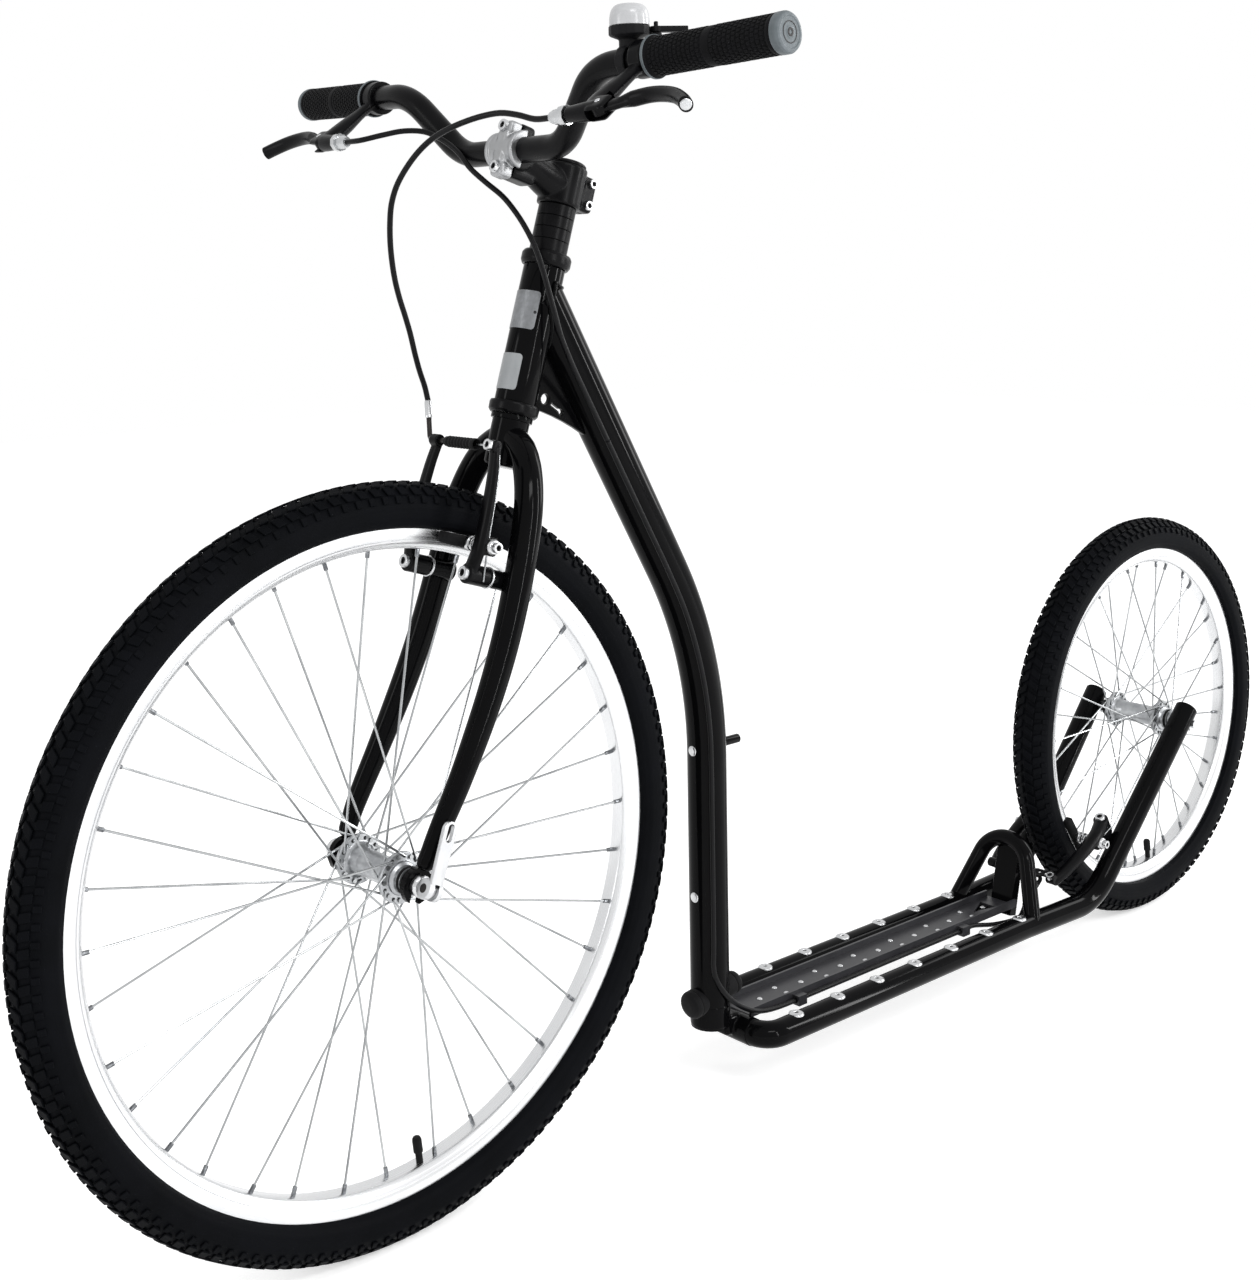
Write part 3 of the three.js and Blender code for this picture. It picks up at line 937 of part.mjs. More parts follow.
// The pad's shoe, post, washers and nut, on an axle across the arm
function brakePad(shoeTurn) {
  const face = rimHalfWidth + padGap - brakePivotY, back = face + padThickness;
  const middle = brakeArmBow * armEdgeShares[2][0];
  const armIn = middle - brakeArmHalfWidth - seatGap * 2, armOut = middle + brakeArmHalfWidth + seatGap * 2;
  const along = (from, to, radius, sides) => toSolid(rod(at(0, from, padHeight), at(0, to, padHeight),
    radius, sides));
  const shoe = new THREE.Shape();
  const half = padLength / 2, tall = padShoeHeight / 2;
  roundedBar(shoe, half, tall);
  const shoeRun = at(Math.cos(shoeTurn), 0, Math.sin(shoeTurn)), rise = at(-Math.sin(shoeTurn), 0,
    Math.cos(shoeTurn));
  const shoeSolid = toSolid(moved(slab(shoe, padThickness, 3), plane(shoeRun, rise, at(0, (face + back) / 2,
    padHeight))));
  const outerEnd = armOut + padWasherWidth + padNutLength;
  return join(shoeSolid, along(back - overrun / 4, outerEnd, padPostRadius, 6),
    along(back, Math.max(armIn, back + overrun / 4), padWasherRadius, 8),
    along(armOut, armOut + padWasherWidth, padWasherRadius, 8),
    along(armOut + padWasherWidth - overrun / 8, outerEnd, padNutRadius, 6));
}

function roundedBar(shape, half, tall) {
  shape.moveTo(-half + tall, -tall);
  shape.lineTo(half - tall, -tall);
  shape.absarc(half - tall, 0, tall, -Math.PI / 2, Math.PI / 2, false);
  shape.lineTo(-half + tall, tall);
  shape.absarc(-half + tall, 0, tall, Math.PI / 2, Math.PI * 1.5, false);
}

// The noodle: through the arm's top, round a bend, with the cable's ferrule on its end
const cradleAxis = at(brakeCradleForward + brakeStrapMiddle, cradleMiddle, brakeArmLength);

function noodle(turnOut, out, rise) {
  const corner = cradleAxis.clone().add(at(0, out, 0)), end = corner.clone().addScaledVector(turnOut, rise);
  const tail = cradleAxis.clone().add(at(0, Math.min(out, 0) - noodleTail, 0));
  const line = bent([tail, corner, end], [noodleBend], [6]);
  const tip = end.clone().addScaledVector(turnOut, ferruleLength - ferruleOverlap);
  const shell = toSolid(rod(end.clone().addScaledVector(turnOut, -ferruleOverlap), tip, ferruleRadius, 8));
  return { solid: join(toSolid(tube(line, noodleRadius, 8)), shell), tip: tip.addScaledVector(turnOut,
    seatGap) };
}

// The ribbed boot over the wire between the arms
function boot(bootStart, bootReach) {
  const pitch = bootReach / bootRibs, bore = fit(noodleRadius, 8), outer = [];
  for (let k = 0; k < bootRibs; k++) {
    outer.push([bootRadius - bootRibDepth, bootStart + k * pitch], [bootRadius,
      bootStart + (k + 0.5) * pitch]);
  }
  outer.push([bootRadius - bootRibDepth, bootStart + bootReach]);
  const profile = [[bore, bootStart], ...outer, [bore, bootStart + bootReach]];
  return toSolid(turned(profile, 8).rotateX(Math.PI / 2).translate(cradleAxis.x, cradleAxis.y, cradleAxis.z));
}

const frontTurn = at(0, 0.42, 0.91).normalize();
const rearTurn = at(-0.115, 0.05, 0.98).normalize();
const frontNoodle = noodle(frontTurn, frontNoodleOut, frontNoodleRise);
const rearNoodle = noodle(rearTurn, rearNoodleOut, rearNoodleRise);
const rearPadAt = rearPivot.clone().addScaledVector(rearArmDown, padHeight).sub(rearAxle);
const rearPadTurn = Math.atan2(-rearPadAt.z, rearPadAt.x) - rearArmAngle * radians;
const frontArmPlace = new THREE.Matrix4().makeTranslation(frontPivot);
const rearArmPlace = new THREE.Matrix4().makeBasis(rearArmOut, flip(left),
  rearArmDown).setPosition(rearPivot);

function addBrakes() {
  const arm = brakeArm();
  addPair(steering, 'front_brake_arm_SIDE', arm, satin, frontArmPlace);
  addPair(steering, 'front_brake_pad_SIDE', brakePad(0), rubber, frontArmPlace);
  addPair(frame, 'rear_brake_arm_SIDE', arm.mirror([0, 1, 0]), satin, rearArmPlace);
  addPair(frame, 'rear_brake_pad_SIDE', brakePad(rearPadTurn).mirror([0, 1, 0]), rubber, rearArmPlace);
  const right = mirrored(frontArmPlace);
  addPart(steering, 'front_noodle', frontNoodle.solid.mirror([0, 1, 0]), silver, right);
  addPart(steering, 'front_boot', boot(frontBootStart, frontBootReach).mirror([0, 1, 0]), rubber, right);
  addPart(frame, 'rear_noodle', rearNoodle.solid.mirror([0, 1, 0]), plastic, rearArmPlace);
  addPart(frame, 'rear_boot', boot(rearBootStart, rearBootReach).mirror([0, 1, 0]), rubber, rearArmPlace);
  addPart(frame, 'rear_link', brakeLink().mirror([0, 1, 0]), plastic, rearArmPlace);
}

// The flat link that hangs the rear noodle from its arm: two eyes and a strip with a slot
function brakeLink() {
  const half = linkWidth / 2, x = cradleAxis.x + linkLift, start = cradleAxis.y + linkStart,
    end = start + linkLength;
  const shape = new THREE.Shape();
  shape.moveTo(start, -half);
  shape.lineTo(end, -half);
  shape.absarc(end, 0, half, -Math.PI / 2, Math.PI / 2, false);
  shape.lineTo(start, half);
  shape.absarc(start, 0, half, Math.PI / 2, Math.PI * 1.5, false);
  shape.holes = [0.2, 0.6].map((share) => new THREE.Path(roundHole(start + linkLength * share, 0, half / 2,
    10)
    .map(([y, z]) => new THREE.Vector2(y, z))));
  const place = plane(left, up, at(x, 0, brakeArmLength));
  return toSolid(moved(slab(shape, linkThickness, 4), place));
}

// Cables: points are shares of one reach, in the steering head's frame or on the bike
const adjusterEnd = (side) => at(adjusterMiddle, adjusterBase - adjusterLength - seatGap * 2, 0)
  .applyMatrix4(leverPlane).multiply(at(1, side, 1));
const sharesToPoints = (shares) => shares.map(([x, y, z]) => at(x, y, z).multiplyScalar(cableReach));

// A cable: straight for one step at each end, with its points set closer where it turns
function cableSolid(points) {
  const curve = new THREE.CatmullRomCurve3(points, false, 'centripetal');
  const first = points[0], last = points.at(-1);
  const fine = curve.getSpacedPoints(Math.round(curve.getLength() / cableStep * 3))
    .filter((point) => Math.min(point.distanceTo(first), point.distanceTo(last)) > cableStep);
  const kept = [first, first.clone().add(points[1].clone().sub(first).setLength(cableStep * 0.6)), fine[0]];
  let heading = fine[1].clone().sub(fine[0]);
  for (let i = 1; i + 1 < fine.length; i++) {
    const next = fine[i + 1].clone().sub(fine[i]), far = fine[i].distanceTo(kept.at(-1));
    if (heading.angleTo(next) < cableTurn * radians || far < cableStep * 2 / 3) continue;
    kept.push(fine[i]);
    heading = next;
  }
  kept.push(fine.at(-1), last.clone().add(points.at(-2).clone().sub(last).setLength(cableStep * 0.6)), last);
  return tube(kept, cableRadius, cableSides);
}

const frontCableShares = [[1.493, 0.9, 2.13], [1.616, 0.45, 1.996], [1.631, 0.12, 1.827],
  [1.611, -0.14, 1.504], [1.447, -0.33, 1.215], [1.192, -0.47, 0.852], [0.865, -0.57, 0.497], [0.62, -0.64,
    0.2]];
const rearCableShares = [[1.0, -0.92, 2.29], [0.8, -0.66, 2.2], [0.68, -0.4, 1.98],
  [0.46, -0.14, 1.78], [0.3, 0.16, 1.43], [0.11, 0.31, 1.0], [-0.098, 0.33, 0.681]];

const footCableShares = [[0.123, 0.184, 1.34], [0.05, 0.222, 1.15], [-0.1, 0.235, 0.99], [-0.26, 0.24, 0.88],
  [-0.42, 0.248, 0.81], [-0.62, 0.25, 0.775]];

function mainTubeRadiusAt(z) {
  return THREE.MathUtils.mapLinear(Math.min(Math.max(z, mainCornerZ), mainTop.z), mainCornerZ, mainTop.z,
    mainTubeLowRadius, mainTubeTopRadius);
}

// A point beside the main tube, at a turn round it from the front to the left
function besideTube(z) {
  const last = mainTubeLine.length - 1;
  const below = mainTubeLine.findIndex((point) => point.z <= z);
  const k = Math.min(Math.max(below - 1, 0), last - 1);
  const [a, b] = [mainTubeLine[k], mainTubeLine[k + 1]];
  const centre = a.clone().lerp(b, (a.z - z) / (a.z - b.z)), run = a.clone().sub(b).normalize();
  const ahead = run.clone().cross(left).negate(), turn = guideTurn * radians;
  const offset = mainTubeRadiusAt(z) + cableRadius + seatGap * 2;
  return centre.addScaledVector(ahead, offset * Math.cos(turn)).addScaledVector(left,
    offset * Math.sin(turn));
}

const cableJoint = besideTube(guideZ);
const rearClipEnd = at(clipRearX - clipLength / 2 - seatGap * 2, cableDeckY, cableDeckZ);

function addCables() {
  const frontEnd = frontNoodle.tip.clone().applyMatrix4(mirror).applyMatrix4(mirrored(frontArmPlace));
  const route = [adjusterEnd(1), adjusterEnd(1).addScaledVector(barRun, -cableStep),
    ...sharesToPoints(frontCableShares),
    frontEnd.clone().addScaledVector(flip(frontTurn), cableStep), frontEnd];
  addPart(steering, 'front_cable', cableSolid(route), housing);

  const joint = cableJoint.clone().applyMatrix4(headMatrix.clone().invert());
  const above = besideTube(guideZ + cableStep * 2).applyMatrix4(headMatrix.clone().invert());
  const upper = [adjusterEnd(-1), adjusterEnd(-1).addScaledVector(flip(barRun), -cableStep),
    ...sharesToPoints(rearCableShares), above, joint.clone().lerp(above, seatGap / cableStep)];
  addPart(steering, 'rear_cable_upper', cableSolid(upper), housing);

  const along = [];
  for (let z = guideZ; z > guideZ * guideLowShare; z -= (guideZ - guideZ * guideLowShare) / guideSteps) {
    along.push(besideTube(z));
  }
  const foot = sharesToPoints(footCableShares).map((point) => point.add(at(mainTubeFootX, 0, 0)));
  const line = [...along, ...foot, at(clipFrontX + clipLength, cableDeckY, cableDeckZ),
    at((clipFrontX * 2 + clipRearX) / 3, cableDeckY, cableDeckZ),
    at((clipFrontX + clipRearX * 2) / 3, cableDeckY, cableDeckZ),
      rearClipEnd.clone().setX(rearClipEnd.x + seatGap)];
  addPart(frame, 'rear_cable_lower', cableSolid(line), housing);

  const tip = rearNoodle.tip.clone().applyMatrix4(mirror).applyMatrix4(rearArmPlace);
  const run = rearTurn.clone().applyMatrix4(mirror).transformDirection(rearArmPlace);
  const tail = [rearClipEnd, rearClipEnd.clone().add(at(-cableStep, 0, 0)), tip.clone().addScaledVector(run,
    cableStep * 1.5), tip];
  addPart(frame, 'rear_cable_end', cableSolid(tail), housing);
}

addWheel('front_wheel', frontAxleX, frontTyreRadius, frontRimRadius, frontHubHalfWidth, frontWheelSegments);
addWheel('rear_wheel', rearAxleX, rearTyreRadius, rearRimRadius, rearHubHalfWidth, rearWheelSegments);
addHead();
addGusset();
addDeck();
addHoop();
addChannel();
addRearAxle();
addFork();
addSpacers();
addStem();
addBar();
addGrips();
addLevers();
addBell();
addSkewer();
addBrakes();
addCables();

export default bike;
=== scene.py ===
# Dresses the kick bike: smooth tubes, real tyres, wheels and fittings, and their finishes.
from math import cos, pi, radians, sin, sqrt, tan, tau

import bpy
from mathutils import Matrix, Vector


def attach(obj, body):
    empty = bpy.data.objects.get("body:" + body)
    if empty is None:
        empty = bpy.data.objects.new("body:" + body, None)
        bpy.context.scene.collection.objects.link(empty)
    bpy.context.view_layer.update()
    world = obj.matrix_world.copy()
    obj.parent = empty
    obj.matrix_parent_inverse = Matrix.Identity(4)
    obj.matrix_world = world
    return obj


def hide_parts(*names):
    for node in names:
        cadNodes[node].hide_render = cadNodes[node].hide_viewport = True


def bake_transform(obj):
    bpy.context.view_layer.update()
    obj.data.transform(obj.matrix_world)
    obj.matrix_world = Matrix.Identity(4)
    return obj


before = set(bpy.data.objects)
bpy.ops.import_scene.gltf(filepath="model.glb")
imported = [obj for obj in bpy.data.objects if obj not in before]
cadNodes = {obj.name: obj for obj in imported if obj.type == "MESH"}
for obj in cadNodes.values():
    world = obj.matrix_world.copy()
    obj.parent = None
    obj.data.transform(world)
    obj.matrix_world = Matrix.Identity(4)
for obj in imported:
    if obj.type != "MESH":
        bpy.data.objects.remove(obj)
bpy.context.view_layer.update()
mm = 0.001  # every size below is written in millimetres
atOrigin = Matrix.Identity(4)
scene = bpy.context.scene
print("frame loaded,", len(cadNodes), "nodes")


def of(sizes, keys):
    return [sizes[key] for key in keys.split()]


def deselectAll():
    for piece in list(bpy.context.selected_objects):
        piece.select_set(False)


def pick(*pieces):
    deselectAll()
    for piece in pieces:
        piece.select_set(True)
    bpy.context.view_layer.objects.active = pieces[0]


def editAll(piece):
    pick(piece)
    bpy.ops.object.mode_set(mode="EDIT")
    bpy.ops.mesh.select_mode(type="VERT")
    bpy.ops.mesh.select_all(action="SELECT")


def leaveEdit():
    bpy.ops.object.mode_set(mode="OBJECT")


def closeUp(piece):
    # merges doubles, drops slivers and turns the faces outwards
    gap = 0.005 * mm
    editAll(piece)
    bpy.ops.mesh.remove_doubles(threshold=gap)
    bpy.ops.mesh.dissolve_degenerate(threshold=gap / 2)
    bpy.ops.mesh.normals_make_consistent(inside=False)
    leaveEdit()


def joined(pieces):
    pick(*pieces)
    if len(pieces) > 1:
        bpy.ops.object.join()
    return bpy.context.view_layer.objects.active


def linked(name, data):
    piece = bpy.data.objects.new(name, data)
    scene.collection.objects.link(piece)
    return piece


def copyOf(piece):
    twin = piece.copy()
    twin.data = piece.data.copy()
    scene.collection.objects.link(twin)
    return twin


def mirroredCopy(piece):
    twin = copyOf(piece)
    twin.data.transform(Matrix.Scale(-1, 4, Vector((0, 1, 0))))
    closeUp(twin)
    return twin


def modified(piece, kind, **settings):
    # adds one modifier and applies it
    pick(piece)
    modifier = piece.modifiers.new(kind, kind)
    for key, value in settings.items():
        setattr(modifier, key, value)
    bpy.ops.object.modifier_apply(modifier=modifier.name)
    return piece


def place(x, y, z):
    return Vector((x, y, z)) * mm


def moved(x, y, z):
    return Matrix.Translation(place(x, y, z))


def mirrored(point):
    return Vector(point) * Vector((1, -1, 1))


def frameAt(origin, xAxis, yAxis, zAxis):
    turn = Matrix((xAxis, yAxis, zAxis)).transposed().to_4x4()
    return Matrix.Translation(Vector(origin) * mm) @ turn


def along(origin, axis):
    # a frame on origin whose z runs along axis
    axis = Vector(axis).normalized()
    side = Vector((0, 1, 0)) if abs(axis.y) < 0.9 else Vector((1, 0, 0))
    xAxis = side.cross(axis).normalized()
    return frameAt(origin, xAxis, axis.cross(xAxis), axis)


def finish(piece, name, body, material, stands=(), angle=40):
    piece.name = name
    piece.data.name = name
    pick(piece)
    bpy.ops.object.transform_apply(location=True, rotation=True, scale=True)
    bpy.ops.object.shade_smooth_by_angle(angle=radians(angle))
    piece.data.materials.clear()
    piece.data.materials.append(material)
    if body:
        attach(piece, body)
    if stands:
        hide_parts(*stands)
    return piece


def finishBoth(piece, name, body, material, stands=(), angle=40):
    # the left piece, and its mirror image with every "left" made "right"
    twin = mirroredCopy(piece)
    finish(piece, name, body, material, stands, angle)
    twinName, twinBody, *twinStands = [word.replace("left", "right") for word in (name, body, *stands)]
    finish(twin, twinName, twinBody, material, twinStands, angle)


def easedProfile(profile, ease, cuts=2):
    eased = []
    for k, point in enumerate(profile):
        here = Vector(point)
        before, after = Vector(profile[k - 1]), Vector(profile[(k + 1) % len(profile)])
        reach = min(ease, (before - here).length * 0.4, (after - here).length * 0.4)
        if here.x < 0.01 or reach < 0.02:
            eased.append(here)
            continue
        start, end = here + (before - here).normalized() * reach, here + (after - here).normalized() * reach
        for step in range(cuts + 1):
            share = step / cuts
            eased.append(start.lerp(here, share).lerp(here.lerp(end, share), share))
    return eased


def loopOf(points, fill="NOTHING"):
    # a closed loop through the points, or the face that they bound
    deselectAll()
    bpy.ops.mesh.primitive_circle_add(vertices=len(points), radius=mm, fill_type=fill, location=(0, 0, 0))
    piece = bpy.context.object
    for vertex, point in zip(piece.data.vertices, points):
        vertex.co = place(*point)
    return piece


def turned(profile, home=atOrigin, steps=64, ease=0.6):
    # profile is a closed run of (radius, height), home is where its axis stands
    points = easedProfile(profile, ease) if ease else profile
    piece = loopOf([(radius, 0, height) for radius, height in points])
    editAll(piece)
    bpy.ops.mesh.spin(steps=steps, angle=tau, center=(0, 0, 0), axis=(0, 0, 1))
    leaveEdit()
    closeUp(piece)
    piece.data.transform(home)
    return piece


def plateOf(outline, low, high, ease=0):
    # a flat plate from its outline, with the edges eased
    plate = loopOf([(x, y, low) for x, y in outline], "NGON")
    editAll(plate)
    bpy.ops.mesh.extrude_region_move(TRANSFORM_OT_translate={"value": (0, 0, (high - low) * mm)})
    leaveEdit()
    closeUp(plate)
    if ease:
        modified(plate, "BEVEL", limit_method="ANGLE", angle_limit=radians(50), width=ease * mm, segments=3)
    return plate


def arcPoints(x, y, radius, start, end, count=12):
    turns = [radians(start + (end - start) * k / count) for k in range(count + 1)]
    return [(x + radius * cos(turn), y + radius * sin(turn)) for turn in turns]


def roundedPath(corners, radii, step=5):
    points = [Vector(corners[0])]
    for k, radius in zip(range(1, len(corners) - 1), radii):
        here = Vector(corners[k])
        back, ahead = [(Vector(corners[k + way]) - here).normalized() for way in (-1, 1)]
        half = back.angle(ahead) / 2
        start, end = here + back * radius / tan(half), here + ahead * radius / tan(half)
        centre = here + (back + ahead).normalized() * radius / sin(half)
        arm, turn = start - centre, pi - half * 2
        axis = arm.cross(end - centre).normalized()
        count = max(6, round(radius * turn / step))
        points += [centre + Matrix.Rotation(turn * i / count, 3, axis) @ arm for i in range(count + 1)]
    return points + [Vector(corners[-1])]


def smoothPath(knots, step=6):
    knots = [Vector(knot) for knot in knots]
    ends = [knots[0] * 2 - knots[1], *knots, knots[-1] * 2 - knots[-2]]
    points = [knots[0]]
    for k in range(1, len(knots)):
        a, b, c, d = ends[k - 1:k + 3]
        count = max(1, round((c - b).length / step))
        for i in range(1, count + 1):
            t = i / count
            points.append(0.5 * (b * 2 + (c - a) * t + (a * 2 - b * 5 + c * 4 - d) * t ** 2
                                 + (b * 3 - a - c * 3 + d) * t ** 3))
    return points


def bentTube(path, radius, sides=32):
    # a curve with a round section made a mesh; radius is one for all, or one for each point
    radii = radius if isinstance(radius, list) else [radius] * len(path)
    curve = bpy.data.curves.new("bentTube", "CURVE")
    curve.dimensions = "3D"
    curve.bevel_depth = mm
    curve.bevel_resolution = max(0, sides // 2 - 2)
    curve.use_fill_caps = True
    spline = curve.splines.new("POLY")
    spline.points.add(len(path) - 1)
    for knot, point, wide in zip(spline.points, path, radii):
        knot.co = (*(Vector(point) * mm), 1)
        knot.radius = wide
    piece = linked("bentTube", curve)
    pick(piece)
    bpy.ops.object.convert(target="MESH")
    closeUp(piece)
    return piece


def easedRod(start, end, radius, ease=0.6, sides=24):
    run = Vector(end) - Vector(start)
    profile = [(0, 0), (radius, 0), (radius, run.length), (0, run.length)]
    return turned(profile, along(start, run), sides, ease)


def easedBlock(low, high, ease=0.8, segments=2):
    low, high = Vector(low), Vector(high)
    deselectAll()
    bpy.ops.mesh.primitive_cube_add(size=1, location=(low + high) / 2 * mm)
    piece = bpy.context.object
    piece.scale = (high - low) * mm
    bpy.ops.object.transform_apply(location=True, rotation=True, scale=True)
    editAll(piece)
    bpy.ops.mesh.bevel(offset=ease * mm, segments=segments, affect="EDGES")
    leaveEdit()
    return piece


def socketBolt(origin, axis, radius, height, seat=0):
    # a cap screw with its hexagon socket, standing on origin
    return turned([(radius * 0.5, height * 0.35), (radius * 0.52, height), (radius, height), (radius, -seat),
                   (0, -seat), (0, height * 0.35)], along(origin, axis), 24, radius * 0.14)


def addBolts(name, body, spots):
    # each spot is origin, axis, radius, height, seat; each socket is lined with a dark sleeve, painted shade
    # in the recess
    finish(joined([socketBolt(*spot) for spot in spots]), name, body, zincSteel)
    socketShades = [turned([(0, height * 0.3), (radius * 0.5, height * 0.3), (radius * 0.5, height * 0.8),
                       (radius * 0.42, height * 0.8), (radius * 0.42, height * 0.4), (0, height * 0.4)],
                      along(origin, axis), 6, 0) for origin, axis, radius, height, seat in spots]
    finish(joined(socketShades), name + "_sockets", body, darkSteelAndPaintedShade)


def fused(pieces, voxel, rounds):
    # one skin over several forms, its inner corners filled as a forging's are
    piece = modified(joined(pieces), "REMESH", mode="VOXEL", voxel_size=voxel * mm)
    return modified(piece, "SMOOTH", factor=0.5, iterations=rounds)


def carved(piece, *cutters):
    for cutter in cutters:
        modified(piece, "BOOLEAN", operation="DIFFERENCE", solver="EXACT", object=cutter)
        bpy.data.objects.remove(cutter)
    return piece


def softenNode(name, body, material, voxel, rounds):
    # a copy of a solid with its edges rounded
    piece = copyOf(cadNodes[name])
    for key in list(piece.keys()):
        del piece[key]
    piece.hide_set(False)
    piece.modifiers.clear()
    editAll(piece)
    bpy.ops.mesh.remove_doubles(threshold=0.01 * mm)
    leaveEdit()
    finish(fused([piece], voxel, rounds), name + "_formed", body, material, [name], 60)


def toLinear(hexColour):
    channels = [int(hexColour[k:k + 2], 16) / 255 for k in (1, 3, 5)]
    return tuple(c / 12.92 if c <= 0.04045 else ((c + 0.055) / 1.055) ** 2.4 for c in channels) + (1,)


def addNode(tree, kind, settings):
    # a key that is a property is set first; then a socket takes a value, a link, or a node's first output
    node = tree.nodes.new("ShaderNode" + kind)
    for key, value in settings.items():
        if isinstance(key, str) and key not in node.inputs:
            setattr(node, key, value)
    for key, value in settings.items():
        if isinstance(key, int) or key in node.inputs:
            source = value.outputs[0] if isinstance(value, bpy.types.Node) else value
            if isinstance(source, bpy.types.NodeSocket):
                tree.links.new(source, node.inputs[key])
            else:
                node.inputs[key].default_value = source
    return node


def startMaterial(name):
    material = bpy.data.materials.new(name)
    material.use_nodes = True
    material.node_tree.nodes.clear()
    return material, material.node_tree


middle = {"From Min": 0.3, "From Max": 0.7}  # where a noise does most of its work


def addRings(tree, coords, axle, size):
    # fine turned or moulded lines that run round the axle
    away = addNode(tree, "VectorMath", {"operation": "SUBTRACT", 0: coords, 1: tuple(place(*axle))})
    flat = addNode(tree, "VectorMath", {"operation": "MULTIPLY", 0: away, 1: (1.0, 0.0, 1.0)})
    reach = addNode(tree, "VectorMath", {"operation": "LENGTH", 0: flat}).outputs["Value"]
    side = addNode(tree, "SeparateXYZ", {"Vector": coords}).outputs[1]
    sweep = addNode(tree, "CombineXYZ", {"X": reach, "Y": side})
    return addNode(tree, "TexNoise", {"Vector": sweep, "Scale": 1 / (size * mm), "Detail": 2.0})


def surface(name, first, second, sizes, roughness, specular=0.5, metallic=0.0, rings=None, more=None):
    # sizes are the mottle's width, the grain's width and the grain's depth; the mottle gives the eye slow
    # shifts of colour and gloss, the grain gives the surface its tooth; rings are an axle, a width, a depth
    material, tree = startMaterial(name)
    mottleSize, grainSize, grainDepth = sizes
    coords = addNode(tree, "TexCoord", {}).outputs["Object"]
    mottle = addNode(tree, "TexNoise", {
        "Vector": coords, "Scale": 1 / (mottleSize * mm), "Detail": 3.0, "Roughness": 0.55})
    grain = addNode(tree, "TexNoise", {
        "Vector": coords, "Scale": 1 / (grainSize * mm), "Detail": 2.0})
    share = addNode(tree, "MapRange", {**middle, "Value": mottle})
    colour = addNode(tree, "Mix", {
        "data_type": "RGBA", 0: share, 6: toLinear(first), 7: toLinear(second)}).outputs[2]
    rough = addNode(tree, "MapRange", {
        **middle, "Value": mottle, "To Min": roughness[0], "To Max": roughness[1]})
    bump = addNode(tree, "Bump", {"Height": grain, "Distance": grainDepth * mm, "Strength": 1.0})
    if rings:
        axle, width, depth = rings
        lines = addRings(tree, coords, axle, width)
        streak = addNode(tree, "MapRange", {
            **middle, "Value": lines, "To Min": -0.05, "To Max": 0.05})
        rough = addNode(tree, "Math", {"operation": "ADD", 0: rough, 1: streak})
        bump = addNode(tree, "Bump", {
            "Height": lines, "Distance": depth * mm, "Strength": 1.0, "Normal": bump})
    shader = addNode(tree, "BsdfPrincipled", {
        "Base Color": colour, "Roughness": rough, "Metallic": metallic, "Specular IOR Level": specular,
        "Normal": bump, **(more or {})})
    addNode(tree, "OutputMaterial", {"Surface": shader})
    return material


# Enamel over steel, sprayed and stoved: deep black, sharp narrow highlights, faint orange peel
blackEnamel = surface("stovedEnamelBlack", "#060607", "#09090a", (60, 4, 0.012), (0.07, 0.11), 0.055)
# Anodised aluminium, bead blasted: an even soft black with wide dull highlights
satinAnodised = surface("anodisedAluminiumSatinBlack", "#050506", "#09090b", (25, 0.8, 0.02), (0.26, 0.34),
                        0.09)
# Moulded nylon: black with a slight grey cast and a fine spark-eroded texture
mouldedNylon = surface("mouldedNylonBlack", "#0e0e0f", "#141416", (12, 0.7, 0.04), (0.42, 0.58), 0.1)
# Moulded rubber for small boots, pads and plugs: dull, slightly dusty
mouldedRubber = surface("mouldedRubberBlack", "#0f0f10", "#171718", (9, 0.9, 0.06), (0.62, 0.8), 0.07,
                        more={"Sheen Weight": 0.05})
gripRubber = surface("mouldedGripRubberBlack", "#0b0b0c", "#111113", (14, 0.8, 0.05), (0.6, 0.76), 0.05,
                     more={"Sheen Weight": 0.04})
greyPlug = surface("mouldedPolypropyleneGrey", "#596063", "#666c70", (8, 0.6, 0.03), (0.4, 0.55), 0.2)
cableSleeve = surface("extrudedPvcSleeveBlack", "#09090a", "#0f0f11", (30, 0.7, 0.015), (0.28, 0.4), 0.12)
# Zinc-plated steel: pale, slightly warm, with cloudy patches from the plating bath
zincSteel = surface("zincPlatedSteel", "#cbcccd", "#bcbdbf", (5, 0.5, 0.01), (0.22, 0.34), metallic=1)
drawnSteel = surface("drawnStainlessSteel", "#b3b5b6", "#8f9193", (40, 0.6, 0.006), (0.2, 0.32), metallic=1)
brassNipple = surface("nickelledBrass", "#85878a", "#55575a", (4, 0.6, 0.01), (0.25, 0.4), metallic=1)
# Die-cast aluminium, tumbled: a pale grey skin with a slightly pebbled look
castAluminium = surface("dieCastAluminium", "#999a9b", "#a2a3a5", (9, 0.9, 0.02), (0.36, 0.46), metallic=1)
polishedAluminium = surface("polishedAluminium", "#c6c7c8", "#b2b4b6", (9, 0.5, 0.008), (0.2, 0.3),
                            metallic=1)
# Lacquered pale steel dome: near white with a soft clear gloss
bellLacquer = surface("lacquerOverSteelPearl", "#bcbdbf", "#b4b5b7", (10, 0.8, 0.006), (0.22, 0.3),
                      more={"Coat Weight": 0.2, "Coat Roughness": 0.08, "Coat IOR": 1.45})
# Die-forged lever, tumbled and clear coated: bright, even and a little soft
leverAluminium = surface("forgedAluminiumLever", "#cdcecf", "#c4c5c7", (14, 0.6, 0.004), (0.28, 0.36),
                         metallic=1)
# Bent steel pipe, black oxide worn thin: dark, with a metal glint
noodleSteel = surface("blackOxideSteel", "#3c3a39", "#2c2a2a", (6, 0.6, 0.01), (0.28, 0.4), metallic=1)
# Spun aluminium shell: satin grey, softer than the polished parts beside it
hubAluminium = surface("spunAluminiumHub", "#b4b6b8", "#96989b", (12, 0.6, 0.01), (0.3, 0.42), metallic=1)
